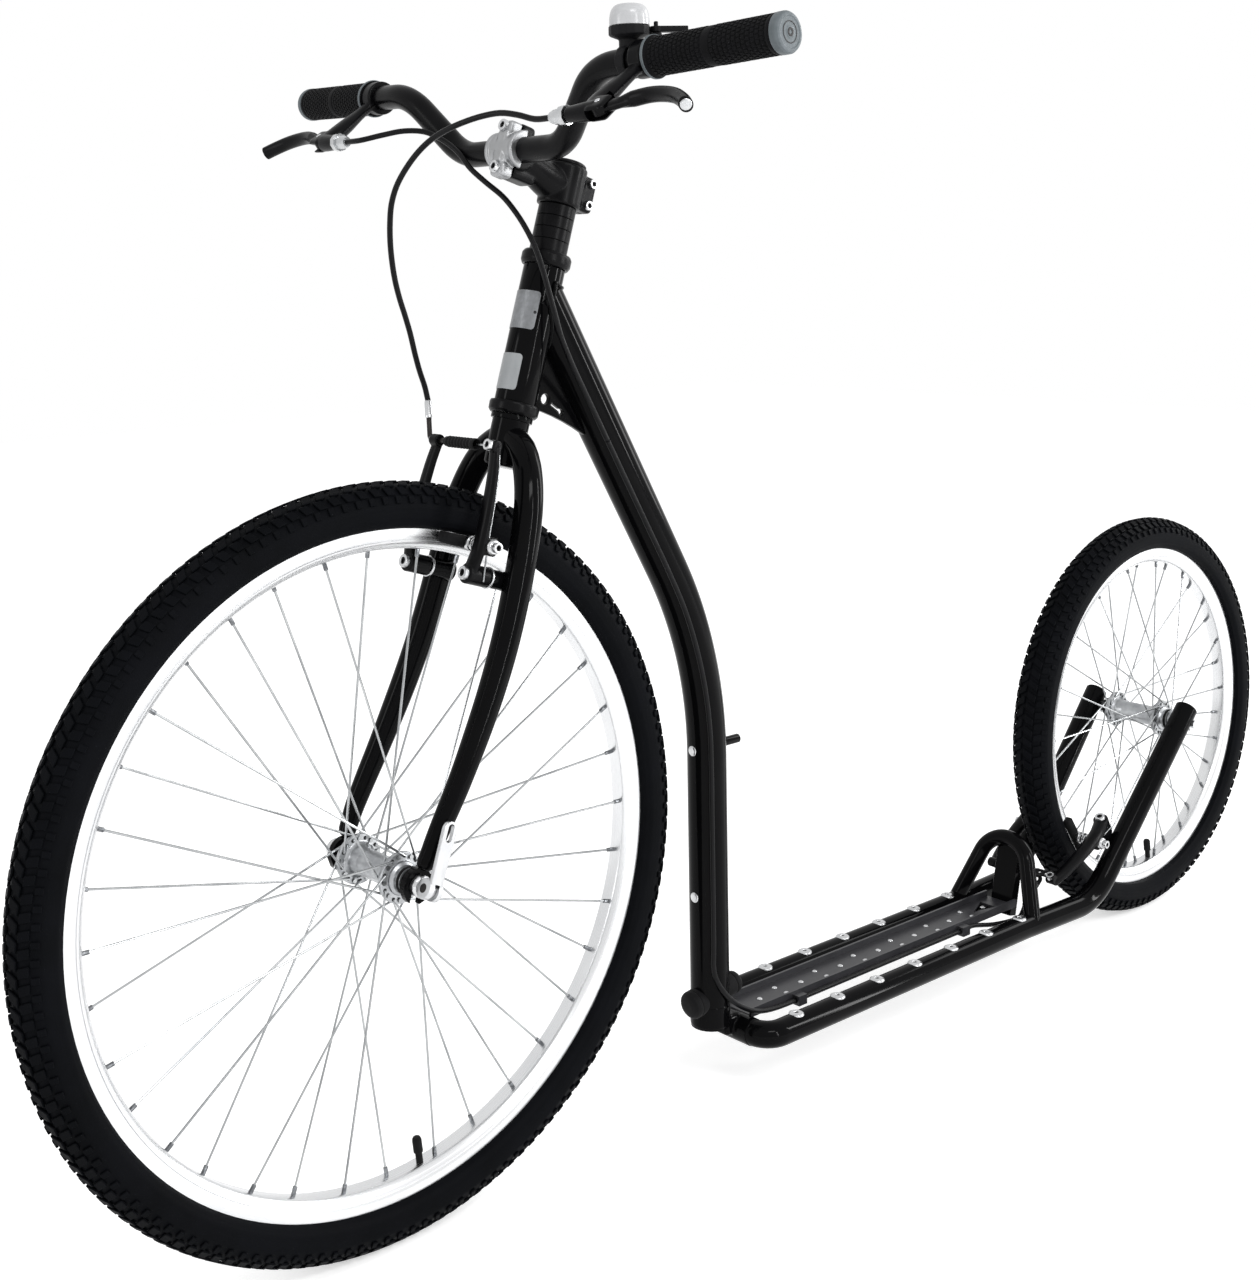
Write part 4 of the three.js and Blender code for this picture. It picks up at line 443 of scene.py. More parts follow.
# Pressed deck channel: dark grey satin enamel that picks up the pale room
channelEnamel = surface("satinEnamelDarkGrey", "#29292c", "#303033", (40, 0.9, 0.015), (0.3, 0.4), 0.3)
badgeAluminium = surface("brushedAluminiumBadge", "#85878a", "#737577", (5, 0.4, 0.02), (0.3, 0.42),
                         metallic=0.8)
paperLabel = surface("printedVinylLabelBlank", "#8b8e90", "#949799", (15, 0.8, 0.005), (0.32, 0.4), 0.4)
# Dark oiled steel for small pins and screws; the same dark is painted into socket recesses, spoke holes,
# washer dimples and a groove as painted shade
darkSteelAndPaintedShade = surface("oiledSteelDarkAndPaintedShade", "#1b1b1c", "#2a2a2b", (2, 0.5, 0.02), (0.4, 0.6), metallic=0.6)
print("materials ready")


cameraSetup = {
    "where": (1332.92, 1190.35, 822.91), "yaw": -2.262069, "pitch": -0.083124, "roll": -0.021510,
    "lens": 49.446, "shift": (0.06947, -0.1811)}


def addCamera():
    yaw, pitch, roll = of(cameraSetup, "yaw pitch roll")
    look = Vector((cos(pitch) * cos(yaw), cos(pitch) * sin(yaw), sin(pitch)))
    right = Vector((sin(yaw), -cos(yaw), 0))
    up = right.cross(look)
    tiltedRight = right * cos(roll) + up * sin(roll)
    tiltedUp = up * cos(roll) - right * sin(roll)
    data = bpy.data.cameras.new("photoCamera")
    data.sensor_fit = "VERTICAL"
    data.sensor_height = 36
    data.sensor_width = 36
    data.lens = cameraSetup["lens"]
    data.shift_x, data.shift_y = cameraSetup["shift"]
    data.clip_end = 50
    scene.camera = linked("photoCamera", data)
    scene.camera.matrix_world = frameAt(cameraSetup["where"], tiltedRight, tiltedUp, -look)


def addLamp(name, where, target, size, power):
    data = bpy.data.lights.new(name, "AREA")
    data.shape = "RECTANGLE"
    data.size, data.size_y = size
    data.energy = power
    turn = (Vector(where) - Vector(target)).to_track_quat("Z", "Y").to_matrix().to_4x4()
    linked(name, data).matrix_world = Matrix.Translation(Vector(where)) @ turn


def seenDirectly(tree):
    # 1 for the camera, mirrors and glass, 0 for the light that falls on things
    path = addNode(tree, "LightPath", {}).outputs
    seen = addNode(tree, "Math", {
        "operation": "MAXIMUM", 0: path["Is Camera Ray"], 1: path["Is Glossy Ray"]})
    return addNode(tree, "Math", {"operation": "MAXIMUM", 0: seen, 1: path["Is Transmission Ray"]})


def addWorld():
    # what the camera, metal and gloss see is a white studio; what lights the object is a plain dim dome
    scene.world = bpy.data.worlds.new("studio")
    scene.world.use_nodes = True
    tree = scene.world.node_tree
    tree.nodes.clear()
    dome = addNode(tree, "Background", {"Color": (0.68, 0.68, 0.68, 1), "Strength": 1.0})
    white = addNode(tree, "Background", {"Color": (1, 1, 1, 1), "Strength": 1.0})
    both = addNode(tree, "MixShader", {0: seenDirectly(tree), 1: dome, 2: white})
    addNode(tree, "OutputWorld", {"Surface": both})


def addFloor():
    bpy.ops.mesh.primitive_plane_add(size=14, location=(0, 0, -0.0004))
    floor = bpy.context.object
    floor.name = "studioFloor"
    material, tree = startMaterial("paintedStudioFloor")
    coords = addNode(tree, "TexCoord", {}).outputs["Object"]
    mottle = addNode(tree, "TexNoise", {"Vector": coords, "Scale": 3.0})
    colour = addNode(tree, "Mix", {
        "data_type": "RGBA", 0: mottle, 6: (0.97, 0.97, 0.97, 1), 7: (1, 1, 1, 1)}).outputs[2]
    lift = addNode(tree, "Math", {"operation": "MULTIPLY", 0: seenDirectly(tree), 1: 0.4})
    shader = addNode(tree, "BsdfPrincipled", {
        "Base Color": colour, "Roughness": 0.9, "Specular IOR Level": 0.0, "Emission Color": (1, 1, 1, 1),
        "Emission Strength": lift})
    addNode(tree, "OutputMaterial", {"Surface": shader})
    floor.data.materials.append(material)


addCamera()
addWorld()
addFloor()
scene.view_settings.view_transform = "Standard"
addLamp("keySoftbox", (1.2, 2.6, 3.0), (0, 0, 0.4), (1.4, 0.5), 30)
addLamp("rimSoftbox", (-3.0, 0.7, 1.6), (0, 0, 0.4), (0.8, 2.0), 30)
addLamp("frontSoftbox", (3.2, -0.6, 1.2), (0, 0, 0.4), (0.5, 1.6), 14)
addLamp("sideStrip", (0.4, 3.0, 1.4), (0, 0, 0.5), (0.06, 1.9), 24)
addLamp("edgeStrip", (-1.9, 2.2, 1.2), (0, 0, 0.5), (0.2, 1.9), 34)
print("camera, light and floor ready")


frontWheel = {
    "name": "front_wheel", "axle": (533, 0, 323), "tyre": 323, "rim": 285.5, "hubHalf": 49.7, "pitches": 150}
rearWheel = {
    "name": "rear_wheel", "axle": (-611, 0, 245), "tyre": 245, "rim": 208.5, "hubHalf": 48.7, "pitches": 114}
# a tread row is its lean from the crown, phase, width, length, skew and share of the full height
wheelSizes = {
    "tube": 23.5, "knob": 2.1, "rimHalf": 12.5, "track": 10.5, "depth": 18, "spokes": 36, "crossing": 60,
    "spokeRadius": 1, "flangeAt": 31, "flangeRadius": 21.5, "flangeThick": 4, "spokeCircle": 18.3,
    "seal": 11.5, "locknut": 8.5, "rimOffset": 2.6, "valveAt": 97,
    "treadRows": ((16, 0, 8.2, 9.5, 0.55, 1), (42, 0.5, 7.6, 8.5, -0.25, 1), (63, 0, 5.2, 6.5, 0, 0.85))}


def fitWheel(piece, wheel, part, material, stands=(), angle=40):
    # a wheel is built flat round the origin, then set on its axle: z to the rider's left, x forward
    name = wheel["name"]
    piece.data.transform(frameAt(wheel["axle"], (1, 0, 0), (0, 0, -1), (0, 1, 0)))
    finish(piece, name + part, name, material, [name + word for word in stands], angle)


def spinCopies(piece, count):
    editAll(piece)
    bpy.ops.mesh.spin(steps=count - 1, dupli=True, angle=tau * (count - 1) / count,
                      center=(0, 0, 0), axis=(0, 0, 1))
    leaveEdit()


def knob(middle, lean, turn, wide, long, skew, high):
    # one tread block on the carcass, lean degrees round the tube from the crown
    block = easedBlock((-high, -wide / 2, -long / 2), (0, wide / 2, long / 2), 0.5, 1)
    shear = Matrix.Identity(4)
    shear[1][2] = skew
    out = moved(wheelSizes["tube"] - wheelSizes["knob"] + high, 0, 0)
    leaned = moved(middle, 0, 0) @ Matrix.Rotation(radians(-lean), 4, "Y")
    block.data.transform(Matrix.Rotation(turn, 4, "Z") @ leaned @ out @ shear)
    return block


def makeTyre(wheel, material):
    tube, high = of(wheelSizes, "tube knob")
    edge, middle, pitch = wheel["rim"], wheel["tyre"] - tube, tau / wheel["pitches"]
    profile = [(edge - 5.5, -10.4), (edge - 1, -11.6)]
    for step in range(-21, 22):  # six degrees a step, with two mould ridges on each wall
        reach, angle = tube - high + (0.5 if abs(step) in (13, 18) else 0), radians(step * 6)
        profile.append((middle + reach * cos(angle), reach * sin(angle)))
    profile += [(edge - 1, 11.6), (edge - 5.5, 10.4)]
    blocks = [knob(middle, side * lean, pitch * (phase + 0.25 * side), wide, long, skew * side, high * share)
              for side in (1, -1) for lean, phase, wide, long, skew, share in wheelSizes["treadRows"]]
    tread = joined(blocks)
    spinCopies(tread, wheel["pitches"])
    carcass = turned(profile, steps=144, ease=0)
    fitWheel(joined([carcass, tread]), wheel, "_tyre_treaded", material, ["_tyre"], 35)


def makeRim(wheel, material):
    # (depth below the edge, half width) from the well over the edge and the brake track to the inner wall
    half, track = of(wheelSizes, "rimHalf track")
    side = [
        (7.2, half - 2.6), (0.2, half - 1.6), (0, half - 1), (0.5, half), (track - 0.5, half),
        (track, half - 0.5), (track + 0.5, half), (track + 2.4, half - 0.5), (16.2, 9), (17.6, 7.4),
        (wheelSizes["depth"], 5.4)]
    depths = [(7, 0), *side, *[(deep, -out) for deep, out in reversed(side)]]
    ring = turned([(wheel["rim"] - deep, out) for deep, out in depths], steps=144, ease=0)
    fitWheel(ring, wheel, "_rim_turned", material, ["_rim"], 50)


def spokeLine(wheel, hole):
    circle, depth, flangeAt, thick = of(wheelSizes, "spokeCircle depth flangeAt flangeThick")
    rimAngle = hole / wheelSizes["spokes"] * tau
    side = -1 if hole % 2 else 1
    trailing = -1 if hole // 2 % 2 else 1
    hubAngle = rimAngle - trailing * radians(wheelSizes["crossing"])
    reach = wheel["rim"] - depth + 1
    hub = Vector((circle * cos(hubAngle), circle * sin(hubAngle), side * flangeAt))
    rim = Vector((reach * cos(rimAngle), reach * sin(rimAngle), side * wheelSizes["rimOffset"]))
    out = Vector((0, 0, side * trailing * (thick / 2 + 1.2)))
    elbow = hub + out
    run = (rim - elbow).normalized()
    return [hub - out * 0.9, hub, elbow + run * 0.4, elbow + run * 3, rim]


def makeSpokes(wheel):
    spokes, nipples = [], []
    for hole in range(4):
        line = spokeLine(wheel, hole)
        seat, run = line[-1], (line[-1] - line[-2]).normalized()
        spokes.append(bentTube(line, wheelSizes["spokeRadius"], 8))
        spokes.append(easedRod(line[0], line[0] + (line[0] - line[1]).normalized() * 0.7, 1.9, 0, 10))
        nipples.append(easedRod(seat - run * 8, seat - run * 0.5, 1.9, 0.5, 8))
    for parts, word, material in ((spokes, "_spokes", drawnSteel), (nipples, "_nipples", brassNipple)):
        group = joined(parts)
        spinCopies(group, wheelSizes["spokes"] // 4)
        fitWheel(group, wheel, word, material)


def makeHub(wheel):
    at, thick, flange, seal, locknut = of(wheelSizes, "flangeAt flangeThick flangeRadius seal locknut")
    end, low, high = wheel["hubHalf"], at - thick / 2, at + thick / 2
    half = [(5.2, end), (locknut, end), (locknut, end - 5), (seal, end - 5), (seal, at + 6), (14.2, at + 4),
            (14.2, high), (flange, high), (flange, low), (15.5, low), (13.4, low - 3), (11.8, low - 12)]
    shell = turned(half + [(radius, -y) for radius, y in reversed(half)], ease=0.7)
    fitWheel(shell, wheel, "_hub_shell", hubAluminium, ["_hub"])
    seals = [turned([(seal - 1, y - 1.7), (seal + 0.5, y - 1.7), (seal + 0.5, y + 1.7), (seal - 1, y + 1.7)],
                    steps=48, ease=0.4) for y in (end - 7.3, 7.3 - end)]
    fitWheel(joined(seals), wheel, "_hub_seals", mouldedRubber)
    # dark rods through the flanges at every spoke hole: painted shade standing in for the holes
    holes, proud = [], 0.08
    for side in (1, -1):
        hole = easedRod((0, 0, low - proud), (0, 0, high + proud), 1.7, 0, 12)
        turn = Matrix.Rotation(tau / wheelSizes["spokes"] * (side < 0), 4, "Z")
        out = moved(wheelSizes["spokeCircle"], 0, 0)
        hole.data.transform(turn @ Matrix.Scale(side, 4, (0, 0, 1)) @ out)
        closeUp(hole)
        holes.append(hole)
    holes = joined(holes)
    spinCopies(holes, wheelSizes["spokes"] // 2)
    fitWheel(holes, wheel, "_flange_hole_shade", darkSteelAndPaintedShade)


def makeValve(wheel):
    turn = radians(wheelSizes["valveAt"])
    outward = Vector((cos(turn), sin(turn), 0))
    home = along(outward * (wheel["rim"] - wheelSizes["depth"] + 1), -outward)
    stem = turned([(0, 0), (3.1, 0), (3.1, 11), (0, 11)], home, 16, 0.4)
    cap = turned([(0, 9.6), (4.2, 9.6), (4.2, 21), (3.2, 23.6), (0, 23.8)], home, 16, 0.6)
    fitWheel(joined([stem, cap]), wheel, "_valve_capped", mouldedRubber, ["_valve"])


for wheel in (frontWheel, rearWheel):
    # Vulcanised tyre rubber: dull blue-black, faint mould rings on the walls
    makeTyre(wheel, surface(
        "vulcanisedRubber_" + wheel["name"], "#07080a", "#0c0d10", (35, 1.2, 0.08), (0.46, 0.62), 0.025,
        rings=(wheel["axle"], 3.2, 0.1)))
    # Extruded aluminium rim, turned track: bright, with hair lines that follow the wheel
    makeRim(wheel, surface(
        "turnedAluminiumRim_" + wheel["name"], "#dcddde", "#d2d3d5", (80, 0.9, 0.01), (0.24, 0.3),
        metallic=1, rings=(wheel["axle"], 1.6, 0.003)))
    makeSpokes(wheel)
    makeHub(wheel)
    makeValve(wheel)
    print(wheel["name"], "built")


# a plate is its low and high ends and how many degrees it goes round to each side
headSizes = {
    "origin": (379.04, 0, 692.89), "up": (-0.29904, 0, 0.95424), "ahead": (0.95424, 0, 0.29904),
    "radius": 18.5, "badge": (71.5, 105.5, 58), "label": (17, 49, 45), "corner": 3.2}
headUp, headAhead = Vector(headSizes["up"]), Vector(headSizes["ahead"])
headHome = frameAt(headSizes["origin"], headAhead, (0, 1, 0), headUp)


def onHead(ahead, left, up):
    return Vector(headSizes["origin"]) + headAhead * ahead + Vector((0, left, 0)) + headUp * up


# four rings, each with its edges set back
spacerSteps = [(radius, 143.7 + 10.6 * k + rise) for k in range(4)
               for radius, rise in ((16.1, 0), (16.8, 0.4), (16.8, 10.1), (16.1, 10.5))]
# what is turned round the steering axis: body, finish, solid, steps, ease and profile
headParts = {
    "head_tube_round": ("frame", blackEnamel, "head_tube", 64, 0.5, [
        (16, 7.9), (headSizes["radius"], 7.9), (headSizes["radius"], 130.5), (16, 130.5)]),
    "lower_cup_round": ("frame", satinAnodised, "headset_lower_cup", 64, 0.5, [
        (15.2, -3), (20, -3), (22, -0.4), (22.2, 5.6), (21.6, 7.6), (15.2, 7.6)]),
    "upper_cup_round": ("frame", satinAnodised, "headset_upper_cup", 64, 0.6, [
        (15.2, 130.8), (20.4, 130.8), (22.2, 134.2), (22.2, 140.6), (20.6, 143.3), (15.2, 143.3)]),
    "fork_crown_turned": ("steering", blackEnamel, "fork_steerer", 56, 0.7, [
        (0, -48.9), (15, -48.9), (16.5, -46.4), (16.5, -7.9), (18.5, -7.9), (18.5, -3.6), (17.6, -3.3),
        (0, -3.3)]),
    "spacers_stacked": ("steering", satinAnodised, "headset_spacers", 56, 0, [
        (14.4, 143.6), *spacerSteps, (14.4, 186)]),
    "top_cap_turned": ("steering", satinAnodised, "stem_top_cap", 48, 0.5, [
        (0, 223.6), (17.6, 223.6), (17.6, 225.6), (15.8, 227.1), (6.4, 227.1), (6, 225.2), (0, 225.2)])}
for name, (body, material, node, steps, ease, profile) in headParts.items():
    finish(turned(profile, headHome, steps, ease), name, body, material, [node])
finish(socketBolt(onHead(0, 0, 225.2), headUp, 4.4, 2.6), "top_cap_bolt", "steering", zincSteel)


def makePlate(name, low, high, spread, material):
    # a thin sheet with rounded corners, rolled round the front of the head tube
    radius, corner = headSizes["radius"] + 0.25, headSizes["corner"]
    half = radius * radians(spread)
    deselectAll()
    bpy.ops.mesh.primitive_grid_add(x_subdivisions=56, y_subdivisions=2, size=1, location=(0, 0, 0))
    plate = bpy.context.object
    for vertex in plate.data.vertices:
        across, share = vertex.co.x * 2 * half, vertex.co.y * 2
        inset = max(0, corner - (half - abs(across)))
        tall = (high - low) / 2 - corner + sqrt(max(0, corner ** 2 - inset ** 2))
        turn = across / radius
        vertex.co = place(radius * cos(turn), radius * sin(turn), (low + high) / 2 + share * tall)
    closeUp(plate)
    modified(plate, "SOLIDIFY", thickness=0.5 * mm, offset=0)
    plate.data.transform(headHome)
    finish(plate, name, "frame", material)


def makeBadge():
    makePlate("head_badge_blank", *headSizes["badge"], badgeAluminium)
    makePlate("head_label_blank", *headSizes["label"], paperLabel)
    pins = []
    for turn in (radians(52), radians(-52)):
        out = Vector((cos(turn), sin(turn), 0))
        pins.append(turned([(0, -0.5), (1.5, -0.5), (1.4, 0.5), (0, 0.9)],
                           headHome @ along(out * 18.8 + Vector((0, 0, 87)), out), 12, 0.2))
    finish(joined(pins), "head_badge_pins", "frame", darkSteelAndPaintedShade)


# the tube swells from its bend up to the head
mainTubeSizes = {
    "top": (347.3, 0, 794), "corner": (148, 0, 444.55), "foot": (148, 0, 73), "bend": 380,
    "swellsFrom": 444.5, "topRadius": 21, "lowRadius": 19.2, "bosses": (268, 202), "peg": 351,
    "caps": (350, 205), "weld": 1.7}


def mainRadius(z):
    (_, _, top), start, wide, thin = of(mainTubeSizes, "top swellsFrom topRadius lowRadius")
    return thin + (wide - thin) * (min(max(z, start), top) - start) / (top - start)


def makeMainTube():
    path = roundedPath(of(mainTubeSizes, "top corner foot"), [mainTubeSizes["bend"]], 10)
    parts = [bentTube(path, [mainRadius(point.z) for point in path], 48)]
    for z in mainTubeSizes["bosses"]:  # threaded, on the rear face
        parts.append(turned([(0, 0), (6, 0), (6, 4), (3, 4), (3, 2.5), (0, 2.5)],
                            along((130.5, 0, z), (-1, 0, 0)), 24, 0.6))
    parts.append(turned([(0, 0), (6, 0), (4.5, 2.6), (4.5, 24.4), (3.6, 24.4), (3.6, 23.4), (0, 23.4)],
                        along((129.5, 0, mainTubeSizes["peg"]), (-1, 0, 0)), 32, 0.5))
    finish(joined(parts), "main_tube_bent", "frame", blackEnamel, ["main_tube"])
    caps = [turned([(0, -0.6), (5, -0.6), (5, 0.4), (3.6, 1.2), (0, 1.3)],
                   along((148.2 + mainRadius(z), 0, z), (1, 0, 0)), 24, 0.4) for z in mainTubeSizes["caps"]]
    finish(joined(caps), "main_tube_caps", "frame", zincSteel)


def makeHeadWeld():
    # a run of weld where the main tube meets the head tube, with the drops just to be seen
    top, corner = Vector(mainTubeSizes["top"]), Vector(mainTubeSizes["corner"])
    axis, headAxis, bead = (top - corner).normalized(), headUp.normalized(), mainTubeSizes["weld"]
    side = axis.cross(headAxis).normalized()
    up = side.cross(axis)
    points = []
    for k in range(65):
        turn = tau * k / 64
        start = top + (side * cos(turn) + up * sin(turn)) * mainTubeSizes["topRadius"]
        gap = start - Vector(headSizes["origin"])
        flatGap, flatRun = gap - headAxis * gap.dot(headAxis), axis - headAxis * axis.dot(headAxis)
        a, b = flatRun.length_squared, 2 * flatGap.dot(flatRun)
        c = flatGap.length_squared - (headSizes["radius"] + 0.2) ** 2
        points.append(start + axis * ((-b - sqrt(max(0, b * b - 4 * a * c))) / (2 * a)))
    finish(bentTube(points, [bead * (1 + 0.16 * (k % 2)) for k in range(65)], 10), "head_weld_bead", "frame",
           blackEnamel, angle=80)


deckSizes = {
    "stay": (-615.23, 62.41, 261.76), "stayFoot": (-426.19, 55, 66), "splay": (-300, 49.5, 66),
    "cross": (120.3, 49.5, 66), "bends": (75, 300, 20, 20, 300, 75), "rail": 13,
    "pivot": (-468.01, 42, 141.7), "pivotAxis": (0.45399, 0, 0.89101),
    "studX": (78, 16.5, -45, -106.5, -168, -229.5, -291)}


def makeDeckLoop():
    half = of(deckSizes, "stay stayFoot splay cross")
    path = roundedPath(half + [mirrored(point) for point in reversed(half)], deckSizes["bends"], 4)
    stay, foot, pivot, out = [Vector(point) for point in of(deckSizes, "stay stayFoot pivot pivotAxis")]
    rails = bentTube(path, deckSizes["rail"], 40)
    boss = turned([(0, -26), (9.4, -26), (8, -20), (8, -9.8), (0, -9.8)], along(pivot, out), 28, 0.7)
    plug = turned([(0, -1), (12.8, -1), (12.2, 1.2), (9, 3), (0, 3.4)], along(stay, stay - foot), 40, 0.6)
    finish(joined([rails, boss, plug, mirroredCopy(boss), mirroredCopy(plug)]), "deck_loop_bent", "frame",
           blackEnamel, ["deck_loop"])
    addBolts("rear_pivot_bolts", "frame", [
        (seat + out * 13.2, out, 5.8, 3.6, 14) for seat in (pivot, mirrored(pivot))])


def makeStuds():
    # silver washers pressed into the rails, each with a dark disc in its centre dimple as painted shade, and
    # small rivets in the channel
    washers, dimpleShades, rivets = [], [], []
    for x in deckSizes["studX"]:
        for y in (49.5, -49.5):
            home = along((x, y, 78.4), (0, 0, 1))
            washers.append(turned([(2, 0.8), (2.6, 1.6), (5.4, 1.7), (7.4, 0.6), (7.8, -0.4), (7.8, -1.2),
                                   (2, -1.2)], home, 24, 0.3))
            dimpleShades.append(turned([(0, -0.6), (2.1, -0.6), (2.1, 0.9), (0, 0.9)], home, 16, 0.2))
        spots = [(x, 0), (x - 30.75, 8.5), (x - 30.75, -8.5)]
        for spotX, y in spots if x > deckSizes["studX"][-1] else spots[:1]:
            rivets.append(turned([(0, 0), (3, 0), (3, 0.5), (1.7, 1.3), (0, 1.4)],
                                 along((spotX, y, 77.4), (0, 0, 1)), 14, 0.3))
    finish(joined(washers), "deck_washers", "frame", zincSteel)
    finish(joined(dimpleShades), "deck_stud_centre_shade", "frame", darkSteelAndPaintedShade)
    finish(joined(rivets), "deck_rivets", "frame", zincSteel)


def makeFootWeld():
    # the tube's foot melts into the deck's cross tube
    (footX, _, footZ), (x, _, z) = mainTubeSizes["foot"], deckSizes["cross"]
    thick = mainTubeSizes["lowRadius"] + 0.5
    forms = [easedRod((footX, 0, footZ + 0.3), (footX, 0, footZ + 24), thick, 2, 56),
             easedRod((x, -34, z), (x, 34, z), deckSizes["rail"] + 0.5, 1, 48),
             easedBlock((x, -17, z - 4), (footX - 6, 17, z + 16), 4, 4)]
    finish(fused(forms, 0.8, 18), "foot_weld", "frame", blackEnamel, angle=60)


makeBadge()
makeMainTube()
makeHeadWeld()
makeDeckLoop()
makeStuds()
makeFootWeld()
hoop = roundedPath([(-311, 53.8, 66), (-360.08, 0, 211), (-311, -53.8, 66)], [33], 3)
finish(bentTube(hoop, 9), "deck_hoop_bent", "frame", blackEnamel, ["deck_hoop"])
# a dark enamelled block under the channel, seen through its notch, which makes the notch dark: painted shade
finish(easedBlock((-313, -17, 72.4), (-262, 17, 74.7), 0.4), "deck_notch_shade_block", "frame", blackEnamel)
print("frame tubes built")


legSizes = {
    "points": [
        (386.2, 9, 670), (387.3, 16.1, 666.6), (388.6, 22.8, 662.4), (390.7, 29.2, 655.8), (393.1, 34.8, 648),
        (396.1, 39.9, 638.5), (399.3, 44.1, 628.2), (403, 47.7, 616.5), (407.1, 50.4, 603.4),
        (414.1, 53.1, 580.7), (422, 54.9, 555.8), (430.9, 56.3, 529.5), (440.8, 57.3, 503.2),
        (452, 58.3, 477.5), (464.4, 59.1, 452), (478.8, 59.7, 424.7), (493.4, 60, 398.4),
        (505.6, 59.8, 377.8), (516.2, 59.1, 359.6), (521.5, 58.3, 349.2), (526.2, 57.3, 339.7)],
    "radii": [12.5] * 11 + [12.31, 12.13, 11.69, 11.25, 10.63, 10, 9.38, 8.75, 8.25, 7.75],
    "pivot": (455.03, 42, 564.12), "axle": (36.3, -399)}


def makeForkLegs():
    knots = [Vector(point) for point in legSizes["points"]]
    path = smoothPath(knots, 7)
    radii = []
    for point in path:
        near = min(range(len(knots)), key=lambda k: (knots[k] - point).length)
        radii.append(legSizes["radii"][near])
    for _ in range(3):
        radii = [radii[0]] + [(a + b + c) / 3 for a, b, c in zip(radii, radii[1:], radii[2:])] + [radii[-1]]
    pivot = Vector(legSizes["pivot"])
    end, run = knots[-1], knots[-1] - knots[-2]
    tip = turned([(0, -1), (7.7, -1), (7, 2.6), (4.6, 5), (0, 6)], along(end, run), 32, 0.5)
    boss = turned([(0, -36), (9.6, -36), (8, -26), (8, -9.8), (0, -9.8)], along(pivot, headAhead), 28, 0.7)
    # the dropout is a flat plate round the axle, open at the bottom
    x, z = legSizes["axle"]
    outline = arcPoints(x, z, 14, 180, 0) + [(x + 14, -405), (45, -412), (41.2, -414), (41.2, -402)]
    outline += arcPoints(x, z, 4.9, 0, 180, 6) + [(31.4, -402), (31.4, -414), (27, -411), (22.3, -404)]
    dropout = plateOf(outline, -56, -50)
    dropout.data.transform(headHome @ frameAt((0, 0, 0), (1, 0, 0), (0, 0, 1), (0, -1, 0)))
    finishBoth(joined([bentTube(path, radii, 36), tip, boss, dropout]), "fork_leg_left_bent", "steering",
               blackEnamel, ["fork_leg_left"])
    washer = turned([(4, -12.4), (9, -12.4), (9.4, -11.6), (9.4, -10.2), (8.8, -9.9), (4, -9.9)],
                    along(pivot, headAhead), 36, 0.4)
    finishBoth(washer, "front_pivot_washer_left", "steering", zincSteel)
    for word, seat in (("left", pivot), ("right", mirrored(pivot))):
        addBolts("front_pivot_bolt_" + word, "steering", [(seat + headAhead * 13.2, headAhead, 5.8, 3.6, 14)])


barSizes = {
    "end": (372.82, 314, 983.63), "high": (389.91, 127, 975.89), "low": (373.37, 69, 918.31),
    "bends": (55, 45, 45, 55), "radius": 11.1}
gripSizes = {
    "start": (384.16, 189.88, 978.49), "run": (-0.09097, 0.995, 0.04119), "sleeve": 14.7,
    "block": (3.1, 2.5, 0.8), "rows": 26, "round": 26, "plainRows": (12, 13), "treadLong": 113}


def makeBar():
    half = of(barSizes, "end high low")
    path = roundedPath(half + [mirrored(point) for point in reversed(half)], barSizes["bends"], 3)
    finish(bentTube(path, barSizes["radius"], 40), "handlebar_bent", "steering", satinAnodised, ["handlebar"])


